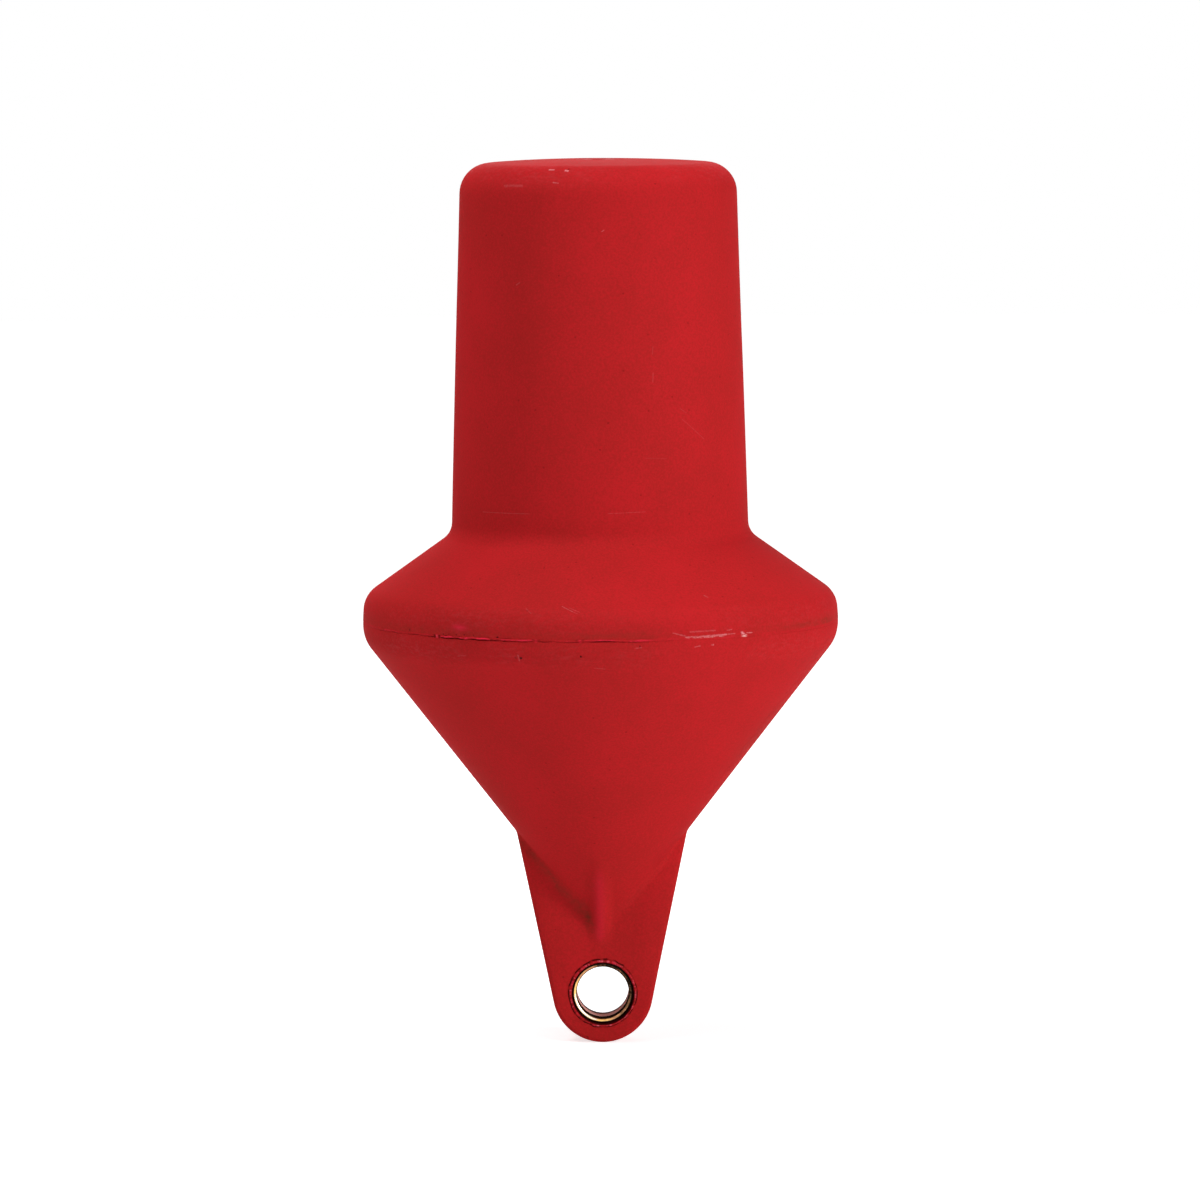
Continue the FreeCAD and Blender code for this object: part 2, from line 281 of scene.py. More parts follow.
def make_piece(
    name: str,
    points: Array,
    faces: Sequence[Array],
    marks: Marks | None = None,
    sharp_above: float = 35,
) -> Piece:
    """An object from points and faces, with doubled points merged and its faces turned outward.

    Args:
        name: The object's name.
        points: The points, in an array whose last axis is (x, y, z).
        faces: Arrays of point indices, with one face in a row.
        marks: Values for each point, by the name of the attribute that holds them.
        sharp_above: Edges that bend more than this, in degrees, are left sharp.

    Returns:
        The object, at the origin and in the scene.
    """
    corners = np.concatenate(faces)
    used, index = np.unique(corners.ravel(), return_inverse=True)
    mesh = bpy.data.meshes.new(name)
    mesh.from_pydata(points.reshape(-1, 3)[used].tolist(), [], index.reshape(corners.shape).tolist())
    for mark, values in (marks or {}).items():
        layer = mesh.attributes.new(mark, "FLOAT", "POINT")
        layer.data.foreach_set("value", np.ascontiguousarray(values.ravel()[used], dtype=np.float32))
    shell = bmesh.new()
    shell.from_mesh(mesh)
    bmesh.ops.remove_doubles(shell, verts=shell.verts[:], dist=1e-6)
    bmesh.ops.dissolve_degenerate(shell, edges=shell.edges[:], dist=1e-7)
    bmesh.ops.recalc_face_normals(shell, faces=shell.faces[:])
    shell.to_mesh(mesh)
    shell.free()
    mesh.shade_smooth()
    mesh.set_sharp_from_angle(angle=math.radians(sharp_above))
    return added(name, mesh)


# ---- node trees ------------------------------------------------------------------------------------


@dataclass(frozen=True)
class Wiring:
    """Adds nodes to one node tree and joins them up."""

    tree: Tree

    def fill(self, node: Node, inputs: dict[str | int, Value]) -> None:
        """Fills a node's inputs.

        Args:
            node: The node.
            inputs: A value or another node's output for each input, by its name or number.
        """
        for name, value in inputs.items():
            if isinstance(value, Socket):
                self.tree.links.new(value, node.inputs[name])
            else:
                node.inputs[name].default_value = value

    def add(self, kind: str, inputs: dict[str | int, Value] | None = None, **settings: object) -> Node:
        """A new node.

        Args:
            kind: The node's type, without ShaderNode in front.
            inputs: What fills its inputs, by their names or numbers.
            settings: The node's own settings, made before its inputs are filled.

        Returns:
            The node.
        """
        node = self.tree.nodes.new("ShaderNode" + kind)
        for name, value in settings.items():
            setattr(node, name, value)
        self.fill(node, inputs or {})
        return node

    def attribute(self, name: str) -> Socket:
        """The value of one of the piece's own marks."""
        return self.add("Attribute", attribute_name=name).outputs["Fac"]

    def math(self, operation: str, *values: Value, clamp: bool = False) -> Socket:
        """The result of a Math node on the values."""
        return self.add("Math", dict(enumerate(values)), operation=operation, use_clamp=clamp).outputs[0]

    def times(self, value: Value, factor: Value, plus: Value | None = None) -> Socket:
        """A value times a factor, with another value added where there is one."""
        given = (value, factor) if plus is None else (value, factor, plus)
        return self.math("MULTIPLY" if plus is None else "MULTIPLY_ADD", *given)

    def vector(self, operation: str, *values: Value) -> Socket:
        """The result of a Vector Math node on the values, a number for a length or a dot product."""
        node = self.add("VectorMath", dict(enumerate(values)), operation=operation)
        return node.outputs[1 if operation in ("LENGTH", "DOT_PRODUCT", "DISTANCE") else 0]

    def ramp(self, value: Value, low: Value, high: Value, to_low: float = 0, to_high: float = 1) -> Socket:
        """A value mapped smoothly from low..high to to_low..to_high, and held there beyond."""
        inputs = {"Value": value, "From Min": low, "From Max": high, "To Min": to_low, "To Max": to_high}
        return self.add("MapRange", inputs, interpolation_type="SMOOTHSTEP").outputs["Result"]

    def noise(self, position: Value, scale: float, detail: float = 2, roughness: float = 0.5) -> Socket:
        """Noise from 0 to 1 whose features are about one over scale across."""
        inputs = {"Vector": position, "Scale": scale, "Detail": detail, "Roughness": roughness}
        return self.add("TexNoise", inputs).outputs[0]

    def stretched(self, position: Value, scales: Sequence[float], detail: float, roughness: float) -> Socket:
        """Noise with a scale of its own along each of x, y and z."""
        return self.noise(self.vector("MULTIPLY", position, scales), 1, detail, roughness)

    def blend(self, factor: Value, first: Value, second: Value) -> Socket:
        """A colour between two, by the factor."""
        return self.add("Mix", {0: factor, 6: first, 7: second}, data_type="RGBA").outputs[2]

    def largest(self, masks: Sequence[Socket]) -> Socket:
        """The largest of several masks at each place."""
        return reduce(lambda one, two: self.math("MAXIMUM", one, two), masks)

    def place(self, group: Tree, **inputs: Value) -> Node:
        """A node group with its inputs filled, by their names."""
        return self.add("Group", inputs, node_tree=group)


def new_group(name: str, inputs: dict[str, type], outputs: Sequence[str]) -> tuple[Wiring, dict, Node]:
    """An empty shader node group with named sockets.

    Args:
        name: The group's name.
        inputs: The name and kind of each input: Vector or float.
        outputs: The name of each output, all of them numbers.

    Returns:
        The group's wiring, its inputs by name, and the node that takes its outputs.
    """
    tree = bpy.data.node_groups.new(name, "ShaderNodeTree")
    for label, kind in inputs.items():
        socket = "NodeSocketVector" if kind is Vector else "NodeSocketFloat"
        tree.interface.new_socket(label, in_out="INPUT", socket_type=socket)
    for label in outputs:
        tree.interface.new_socket(label, in_out="OUTPUT", socket_type="NodeSocketFloat")
    sockets = tree.nodes.new("NodeGroupInput").outputs
    return Wiring(tree), {label: sockets[label] for label in inputs}, tree.nodes.new("NodeGroupOutput")


@cache
def moulded_grain() -> Tree:
    """The skin of moulded polyethylene: the fine orange peel of the mould, and faint mottling of its colour.

    Returns:
        The node group.
    """
    wiring, given, result = new_group("moulded_grain", {"Position": Vector}, ("Peel", "Mottle"))
    position = given["Position"]
    fine, coarse = wiring.noise(position, 620, 3, 0.6), wiring.noise(position, 95, 2)
    peel = wiring.times(coarse, 0.6, wiring.times(fine, 0.4))
    cloud = wiring.times(wiring.noise(position, 14, 3), 0.3)
    mottle = wiring.times(wiring.noise(position, 560, 3, 0.75), 0.7, cloud)
    wiring.fill(result, {"Peel": peel, "Mottle": wiring.ramp(mottle, 0.36, 0.64)})
    return wiring.tree


@cache
def specks() -> Tree:
    """Sparse dark specks in the plastic, one in some cells of a scattered pattern.

    Returns:
        The node group.
    """
    wiring, given, result = new_group("specks", {"Position": Vector, "Share": float}, ("Mask",))
    cells = wiring.add("TexVoronoi", {"Vector": given["Position"], "Scale": 150}).outputs
    draw = wiring.add("SeparateColor", {0: cells["Color"]}).outputs[0]
    chosen = wiring.math("LESS_THAN", draw, given["Share"])
    dot = wiring.ramp(cells["Distance"], 0.10, 0.16, 1, 0)
    wiring.fill(result, {"Mask": wiring.times(chosen, dot)})
    return wiring.tree


def unrolled(wiring: Wiring, position: Value) -> tuple[Socket, Socket]:
    """Nodes that lay the surface of a round body flat.

    Args:
        wiring: The tree to add them to.
        position: The place in Object coordinates.

    Returns:
        The place as (bearing times radius, height, 0), and the vector (radius, 1, 1), which turns a
        bearing in radians and a height into such a place.
    """
    axes = wiring.add("SeparateXYZ", {0: position}).outputs
    radius = wiring.vector("LENGTH", wiring.add("CombineXYZ", {0: axes[0], 1: axes[1]}).outputs[0])
    bearing = wiring.math("ARCTAN2", axes[0], wiring.times(axes[1], -1.0))
    flat = wiring.add("CombineXYZ", {0: wiring.times(bearing, radius), 1: axes[2]}).outputs[0]
    return flat, wiring.add("CombineXYZ", {0: radius, 1: 1.0, 2: 1.0}).outputs[0]


@cache
def scratch() -> Tree:
    """A ragged scratch on a round body, from one place to another: 1 along its middle, 0 past its width.

    With a and b the ends and p the place, all laid flat, the distance is |p - a - t (b - a)|, where t is
    (p - a).(b - a) / |b - a|^2 held between 0 and 1.

    Returns:
        The node group.
    """
    kinds = {"Position": Vector, "Start": Vector, "End": Vector, "Width": float}
    wiring, given, result = new_group("scratch", kinds, ("Mask",))
    flat, scale = unrolled(wiring, given["Position"])
    start = wiring.vector("MULTIPLY", given["Start"], scale)
    line = wiring.vector("SUBTRACT", wiring.vector("MULTIPLY", given["End"], scale), start)
    reach = wiring.vector("SUBTRACT", flat, start)
    length = wiring.vector("DOT_PRODUCT", line, line)
    share = wiring.math("DIVIDE", wiring.vector("DOT_PRODUCT", reach, line), length, clamp=True)
    along = wiring.add("VectorMath", {0: line, "Scale": share}, operation="SCALE").outputs[0]
    away = wiring.vector("LENGTH", wiring.vector("SUBTRACT", reach, along))
    ragged = wiring.times(wiring.noise(given["Position"], 700, 3, 0.7), 1.6, -0.8)
    distance = wiring.times(ragged, given["Width"], away)
    broken = wiring.ramp(wiring.noise(given["Position"], 330, 2), 0.3, 0.52, 0.5, 1)
    mask = wiring.times(broken, wiring.ramp(distance, 0.0, given["Width"], 1, 0))
    wiring.fill(result, {"Mask": mask})
    return wiring.tree


@cache
def pit() -> Tree:
    """A small ragged pit on a round body: 1 in its middle, 0 past its radius.

    Returns:
        The node group.
    """
    kinds = {"Position": Vector, "Centre": Vector, "Radius": float}
    wiring, given, result = new_group("pit", kinds, ("Mask",))
    flat, scale = unrolled(wiring, given["Position"])
    away = wiring.vector("DISTANCE", flat, wiring.vector("MULTIPLY", given["Centre"], scale))
    ragged = wiring.times(wiring.noise(given["Position"], 900, 2, 0.6), 1.2, -0.6)
    distance = wiring.times(ragged, given["Radius"], away)
    edge = wiring.times(given["Radius"], 0.5)
    wiring.fill(result, {"Mask": wiring.ramp(distance, edge, given["Radius"], 1, 0)})
    return wiring.tree


# ---- finishes --------------------------------------------------------------------------------------


def on_hull(bearing: float, height: float) -> Triple:
    """A place on the hull as the node groups take it, from degrees and millimetres above the seam."""
    return math.radians(bearing), height * MM, 0.0


@dataclass(frozen=True)
class Scratch:
    """A line where the surface is scored and whitened: its bearings in degrees, the rest in millimetres."""

    start_bearing: float
    start_height: float
    end_bearing: float
    end_height: float
    width: float
    strength: float

    def mask(self, wiring: Wiring, position: Value) -> Socket:
        """Where the scratch is.

        Args:
            wiring: The tree to add it to.
            position: The place in Object coordinates.

        Returns:
            The mask, from 0 to the scratch's strength.
        """
        start = on_hull(self.start_bearing, self.start_height)
        end = on_hull(self.end_bearing, self.end_height)
        line = wiring.place(scratch(), Position=position, Start=start, End=end, Width=self.width * MM)
        return wiring.times(line.outputs[0], self.strength)


@dataclass(frozen=True)
class Pit:
    """A small hole that the mould left in the surface, painted dark as shade: its bearing in degrees, the
    rest in millimetres.
    """

    bearing: float
    height: float
    radius: float
    strength: float = 0.55

    def mask(self, wiring: Wiring, position: Value) -> Socket:
        """Where the pit is, from 0 to its strength."""
        inputs = {"Centre": on_hull(self.bearing, self.height), "Radius": self.radius * MM}
        return wiring.times(wiring.place(pit(), Position=position, **inputs).outputs[0], self.strength)


def marked(kind: type, *rows: tuple[float, ...]) -> tuple:
    """Scratches or pits, one from each row of numbers."""
    return tuple(kind(*row) for row in rows)


def new_material(name: str) -> tuple[Material, Wiring, Node]:
    """A material with a Principled shader and nothing else.

    Args:
        name: The material's name.

    Returns:
        The material, the wiring of its tree, and the shader.
    """
    material = bpy.data.materials.new(name)
    material.use_nodes = True
    return material, Wiring(material.node_tree), material.node_tree.nodes["Principled BSDF"]


@dataclass(frozen=True)
class MouldedPlastic:
    """Satin polyethylene as it leaves the mould: even colour, orange peel, the marks of use, and painted
    shade and painted highlights where a piece marks them.
    """

    colour: Colour
    shade: Colour
    whitened: Colour
    # Near black of the painted shade in crevices and pits, and of the plastic's own specks.
    dark: Colour = (0.03, 0.003, 0.002, 1)
    # Vivid red, partly a painted highlight on fins, crests and the can's top.
    fresh_and_highlight: Colour = (0.76, 0.020, 0.050, 1)
    # Brown of stains, also used for the painted shade in the lower hull's hollows.
    grime_and_shade: Colour = (0.11, 0.034, 0.017, 1)
    roughness: float = 0.62
    gloss: float = 0.009
    peel: float = 0.25
    peel_height: float = 0.4 * MM
    speck_share: float = 0.09
    speck_strength: float = 0.32
    smear_scales: Triple = (150, 150, 330)
    rub_scales: Triple = (160, 160, 420)

    def material(self, name: str, scratches: Sequence[Scratch] = (), pits: Sequence[Pit] = ()) -> Material:
        """The finish on one piece, whose attributes give its wear and the shade painted in its crevices, and
        may give its vivid colour, partly a painted highlight, and its stains with painted shade in hollows.

        Args:
            name: The material's name.
            scratches: The scratches on the piece.
            pits: The pits in the piece.

        Returns:
            The material.
        """
        material, wiring, shader = new_material(name)
        position = wiring.add("TexCoord").outputs["Object"]
        grain = wiring.place(moulded_grain(), Position=position).outputs
        smear = wiring.stretched(position, self.smear_scales, 3, 0.6)
        # Stains, and painted shade in the lower hull's hollows, blended towards the brown.
        stained_and_shaded = wiring.times(wiring.attribute("stain_and_shade"), wiring.ramp(smear, 0.34, 0.62, 0.4, 1.1))
        dots = wiring.place(specks(), Position=position, Share=self.speck_share).outputs[0]
        # Painted shade in crevices and pits, with the plastic's own dark specks.
        specks_and_shade = [wiring.attribute("crevice_shade"), wiring.times(dots, self.speck_strength)]
        specks_and_shade = wiring.largest(specks_and_shade + [hole.mask(wiring, position) for hole in pits])
        rubbed = wiring.ramp(wiring.stretched(position, self.rub_scales, 3, 0.65), 0.42, 0.7)
        pale = [wiring.times(wiring.attribute("wear"), rubbed)]
        pale = wiring.largest(pale + [line.mask(wiring, position) for line in scratches])
        colour = wiring.blend(grain["Mottle"], self.shade, self.colour)
        # The vivid mask is partly a painted highlight, and the dark masks paint shade.
        masks = (wiring.attribute("fresh_and_highlight"), stained_and_shaded, specks_and_shade, pale)
        for mask, cover in zip(masks, (self.fresh_and_highlight, self.grime_and_shade, self.dark, self.whitened)):
            colour = wiring.blend(mask, colour, cover)
        rough = wiring.ramp(grain["Mottle"], 0, 1, self.roughness, self.roughness + 0.06)
        height = wiring.times(specks_and_shade, -2.0, grain["Peel"])
        bump = wiring.add("Bump", {"Strength": self.peel, "Distance": self.peel_height, "Height": height})
        wiring.fill(shader, {
            "Base Color": colour,
            "Roughness": wiring.times(pale, 0.2, rough),
            "Normal": bump.outputs[0],
            "Specular IOR Level": self.gloss,
        })
        return material


@dataclass(frozen=True)
class TarnishedBrass:
    """Brass painted from cream through gold and tan to black, partly rubbed and tarnished brass and partly a
    painted highlight and painted dark reflection, with a pale pink band that is a painted reflection.
    """

    # Cream of the painted highlight.
    painted_highlight: Colour = (1.0, 0.90, 0.70, 1)
    bright: Colour = (0.95, 0.60, 0.19, 1)
    tan: Colour = (0.50, 0.25, 0.12, 1)
    # Black of tarnish, and of painted dark reflection and shade.
    tarnish_and_reflection: Colour = (0.016, 0.010, 0.006, 1)
    # Pink of the band in the bore, a painted reflection of the red hull.
    scale: Colour = (0.95, 0.50, 0.44, 1)
    drawn_scales: Triple = (500, 3000, 500)
    bump: float = 0.35
    bump_height: float = 0.2 * MM

    def material(self, name: str) -> Material:
        """The finish on one piece, whose attributes give how dark the brass is painted and where the pink
        band, a painted reflection, lies.

        Args:
            name: The material's name.

        Returns:
            The material.
        """
        material, wiring, shader = new_material(name)
        position = wiring.add("TexCoord").outputs["Object"]
        patch = wiring.noise(position, 420, 4, 0.6)
        uneven = wiring.times(patch, 0.5, -0.25)
        amount = wiring.math("ADD", wiring.attribute("tarnish_and_reflection"), uneven, clamp=True)
        # Painted reflection: a pale pink band in the bore.
        reflection_band = wiring.ramp(wiring.times(patch, 0.9, wiring.attribute("painted_reflection_band")), 0.85, 1.2)
        colour = self.painted_highlight
        for low, high, cover in ((0.02, 0.16, self.bright), (0.2, 0.5, self.tan), (0.5, 0.8, self.tarnish_and_reflection)):
            colour = wiring.blend(wiring.ramp(amount, low, high), colour, cover)
        bare = wiring.math("SUBTRACT", 1.0, reflection_band)
        rough = wiring.ramp(amount, 0.0, 0.8, 0.26, 0.6)
        drawn = wiring.times(wiring.stretched(position, self.drawn_scales, 2, 0.5), 0.4)
        height = wiring.times(patch, 0.6, drawn)
        bump = wiring.add("Bump", {"Strength": self.bump, "Distance": self.bump_height, "Height": height})
        wiring.fill(shader, {
            "Base Color": wiring.blend(reflection_band, colour, self.scale),
            "Metallic": wiring.times(bare, wiring.ramp(amount, 0.45, 0.75, 1.0, 0.0)),
            "Roughness": wiring.math("MAXIMUM", rough, wiring.times(reflection_band, 0.85)),
            "Normal": bump.outputs[0],
            "Specular IOR Level": 0.0,
        })
        return material


RED = MouldedPlastic(
    colour=(0.56, 0.0175, 0.0215, 1), shade=(0.43, 0.0175, 0.017, 1), whitened=(0.74, 0.24, 0.26, 1)
)


# ---- the buoy --------------------------------------------------------------------------------------


@dataclass(frozen=True)
class Sizes:
    """The sizes that more than one part of the buoy shares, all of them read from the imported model."""

    belt_radius: float
    flash_radius: float
    dome_height: float
    lug_bottom: float
    eye_height: float
    bush_radius: float
    half_lug: float
    plug_radius: float
    plug_face: float
    plug_floor: float

    @classmethod
    def from_frame(cls) -> "Sizes":
        """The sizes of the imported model's nodes.

        Returns:
            The sizes.
        """
        upper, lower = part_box("upper_moulding"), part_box("lower_moulding")
        bead, bush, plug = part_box("seam_bead"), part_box("mooring_bush"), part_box("filling_plug")
        return cls(
            belt_radius=min(-upper[0].x, upper[1].x),
            flash_radius=min(-bead[0].x, bead[1].x),
            dome_height=upper[1].z,
            lug_bottom=lower[0].z,
            eye_height=(bush[0].z + bush[1].z) / 2,
            bush_radius=bush[1].x,
            half_lug=bush[1].y,
            plug_radius=plug[1].x,
            plug_face=plug[1].z,
            plug_floor=plug[0].z,
        )

    @property
    def end_radius(self) -> float:
        """The radius of the lug's round end."""
        return self.eye_height - self.lug_bottom

    def round_eye(self, radius: Array, along: Array, turn: Array) -> Array:
        """Points at x = r cos t, y = a, z = e + r sin t, with e the eye's height and xyz on the last axis."""
        radius, along, turn = np.broadcast_arrays(radius, along, turn)
        return np.stack([radius * np.cos(turn), along, self.eye_height + radius * np.sin(turn)], axis=-1)


def finished(piece: Piece, material: Material, slot: Slot, *nodes: str) -> Piece:
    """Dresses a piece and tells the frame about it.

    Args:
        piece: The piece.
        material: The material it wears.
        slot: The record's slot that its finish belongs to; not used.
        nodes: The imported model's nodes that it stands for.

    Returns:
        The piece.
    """
    piece.data.materials.append(material)
    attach(piece, "root")
    if nodes:
        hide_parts(*nodes)
    return piece


@dataclass(frozen=True)
class UpperHull:
    """The upper moulding: the can, its domed top with the plug's seat, the shoulder and half the belt.

    The roundings follow the outline from the seat's floor over its mouth, the dome, the can's edge, the
    neck and the belt's shoulder to the two edges of the seam's chamfer. The stains are bearings in degrees
    and the strength at each.
    """

    sizes: Sizes
    belt_rise: float = 0.0205
    neck_radius: float = 0.125
    neck_rise: float = 0.0735
    can_edge_radius: float = 0.116
    can_rise: float = 0.309
    dome_flat: float = 0.058
    seam_chamfer: float = 0.0015
    plug_gap: float = 0.0002
    roundings: tuple[float, ...] = (0.3 * MM, 1 * MM, 0.9, 26 * MM, 17.5 * MM, 23 * MM, 0.4 * MM, 0.2 * MM)
    columns: int = 420
    step: float = 0.0035
    ripple: Ripple = Ripple(depth=0.0005, around=5, wavelength=0.22, seed=3)
    stains: Knots = (
        (-180, 0.3), (-150, 0.2), (-110, 0.3), (-75, 0.14), (-60, 0.16), (-52, 0.2), (-44, 0.18), (-30, 0.2),
        (-16, 0.1), (-8, 0.12), (-3, 0.3), (7, 0.32), (13, 0.2), (18, 0.04), (36, 0.03), (42, 0.14),
        (50, 0.16), (56, 0.32), (72, 0.36), (82, 0.2), (120, 0.15), (150, 0.3), (180, 0.3),
    )
    scratches: tuple[Scratch, ...] = marked(
        Scratch,
        (-22.8, 380.7, -20.5, 380.6, 0.7, 0.8), (-14.9, 380.2, -13.6, 379.8, 1.0, 1.0),
        (-19.0, 370.6, -16.8, 370.2, 0.8, 0.4), (-42.2, 367.5, -33.2, 367.7, 1.8, 0.13),
        (1.4, 330.3, 2.3, 331.7, 0.6, 0.35), (-35.0, 286, -33.4, 288, 0.8, 0.15),
        (21.7, 235.0, 21.4, 229.0, 0.6, 0.10), (21.6, 214.0, 21.4, 206.0, 0.6, 0.14),
        (34.0, 174.5, 45.0, 156.8, 0.5, 0.12), (33.2, 183.5, 36.0, 179.5, 0.6, 0.10),
        (-51.5, 96.8, -28.0, 97.4, 0.6, 0.12), (3.0, 98.4, 17.4, 99.3, 0.6, 0.12),
        (17.7, 143.5, 26.5, 142.5, 0.6, 0.06), (-9.5, 27.6, -5.6, 22.2, 0.5, 0.22),
        (-7.6, 26.6, -5.0, 23.2, 0.4, 0.16), (-18.5, 25.7, -16.9, 22, 0.6, 0.12),
        (27.9, 33.5, 28.7, 32, 0.9, 0.2), (17.2, 5.6, 18.6, 4.4, 0.9, 0.24),
        (18.8, 4.0, 20.3, 2.8, 1.0, 0.22), (21.5, 6.0, 28.0, 6.2, 1.1, 0.17),
        (31.2, 5.7, 32.5, 6.2, 0.8, 0.25), (20.4, 1.6, 26.5, 2.1, 1.1, 0.50),
        (23.5, 1.8, 31.0, 2.4, 1.1, 0.62), (30.5, 2.4, 33.4, 2.7, 0.8, 0.30),
        (35.4, 2.9, 36.0, 1.4, 1.8, 1.0), (36.8, 2.6, 38.4, 2.4, 0.7, 0.5),
    )
    pits: tuple[Pit, ...] = marked(
        Pit,
        (-13.6, 381.1, 0.8), (-52.0, 3.2, 1.3), (-40.2, 2.3, 0.9), (-38.6, 2.6, 0.8), (-36.3, 2.4, 0.9),
        (-34.0, 2.8, 1.0), (-31.4, 2.7, 0.8), (-25.0, 1.7, 1.3, 0.9),
    )

    def build(self) -> Piece:
        """The moulding's skin: its outline turned round the axis, and sunk along its normal by the ripple.

        Returns:
            The piece.
        """
        sizes = self.sizes
        belt, seat = sizes.belt_radius, sizes.plug_radius + self.plug_gap
        corners = [
            (0, sizes.plug_floor), (seat, sizes.plug_floor), (seat, sizes.dome_height),
            (self.dome_flat, sizes.dome_height), (self.can_edge_radius, self.neck_rise + self.can_rise),
            (self.neck_radius, self.neck_rise), (belt, self.belt_rise), (belt, self.seam_chamfer),
            (belt - self.seam_chamfer, 0), (0, 0),
        ]
        outline = rounded_profile(corners, self.roundings, self.step)
        lean = np.gradient(outline, axis=0)
        lean /= np.maximum(np.linalg.norm(lean, axis=1), 1e-9)[:, None]
        radius, height = outline[:, :1], outline[:, 1:]
        bearing = bearings(self.columns)[None]
        free = smooth(radius, seat, seat + 0.02) * smooth(height, self.seam_chamfer, 0.01)
        sunk = self.ripple.hollow(bearing, height) * free
        points = placed(radius + lean[:, 1:] * sunk, bearing, height - lean[:, :1] * sunk)
        marks = self.marks(bearing, height, radius)
        return make_piece("upper_hull", points, [ring_quads(len(outline), self.columns)], marks)

    def marks(self, bearing: Array, height: Array, radius: Array) -> Marks:
        """Where the skin is rubbed, stained, and painted vivid, partly as a painted sheen.

        It is rubbed along the can's top edge and the belt's corner, in patches. Its colour is vivid in a
        torn place above the joint, and a little along the can's top edge, where the vividness is a painted
        sheen. Brown staining has gathered above the joint, s n exp(-((h - 3.5) / 4)^2) for the stain s, the
        noise n and the height h in millimetres.

        Args:
            bearing: The bearings.
            height: The heights.
            radius: The distances from the axis.

        Returns:
            Each mark's values.
        """
        patch = RingNoise(9, 21).at(bearing) * RingNoise(31, 22).at(bearing)
        top = smooth(height, 0.362, 0.376) * smooth(radius, 0.08, 0.1)
        corner = bell(height - 0.014, 0.012) * smooth(radius, 0.19, 0.196)
        torn = bell(degrees_from(-35.5, bearing), 2) * (0.5 + 0.9 * RingNoise(150, 27).at(bearing))
        torn = np.clip(torn * bell(height - 0.0085, 0.0024), 0, 1)
        # Painted sheen: the top face and its edge are painted a little more vivid.
        edge = smooth(height, 0.364, 0.376) * smooth(radius, 0.07, 0.1)
        cloudy = 0.5 + 0.8 * mixed(bearing, RingNoise(61, 24), RingNoise(230, 25), 0.6)
        stain = between(self.stains, degrees_from(0, bearing)) * cloudy * bell(height / MM - 3.5, 4)
        return {
            "wear": np.clip((top * 0.035 + corner * 0.03) * patch * 2, 0, 1),
            "fresh_and_highlight": np.maximum(torn, edge * (0.01 + 0.05 * RingNoise(17, 26).at(bearing))),
            "stain_and_shade": stain,
            "crevice_shade": np.zeros_like(stain),
        }

    def make(self) -> list[Piece]:
        """The finished moulding."""
        material = RED.material("upper_hull_red", self.scratches, self.pits)
        return [finished(self.build(), material, Slot.HULL, "upper_moulding")]


@dataclass(frozen=True)
class EyeSeat:
    """The open groove between the bush and the hull: the bush sits high, so it is widest underneath."""

    narrow: float = 0.0006
    wide: float = 0.0022
    lowest: float = math.radians(-75)
    depth: float = 0.006
    slack: float = 0.00005

    def gap(self, turn: Array) -> Array:
        """The groove's width at each angle t from +X towards +Z: n + (w - n) (0.5 + 0.5 cos(t - l))^1.5."""
        low = 0.5 + 0.5 * np.cos(turn - self.lowest)
        return self.narrow + (self.wide - self.narrow) * low**1.5


@dataclass(frozen=True)
class Block:
    """The cells that the eye's hole takes out of the grid, counted from the ring at the eye's height."""

    row: int
    half_rows: int
    half_columns: int


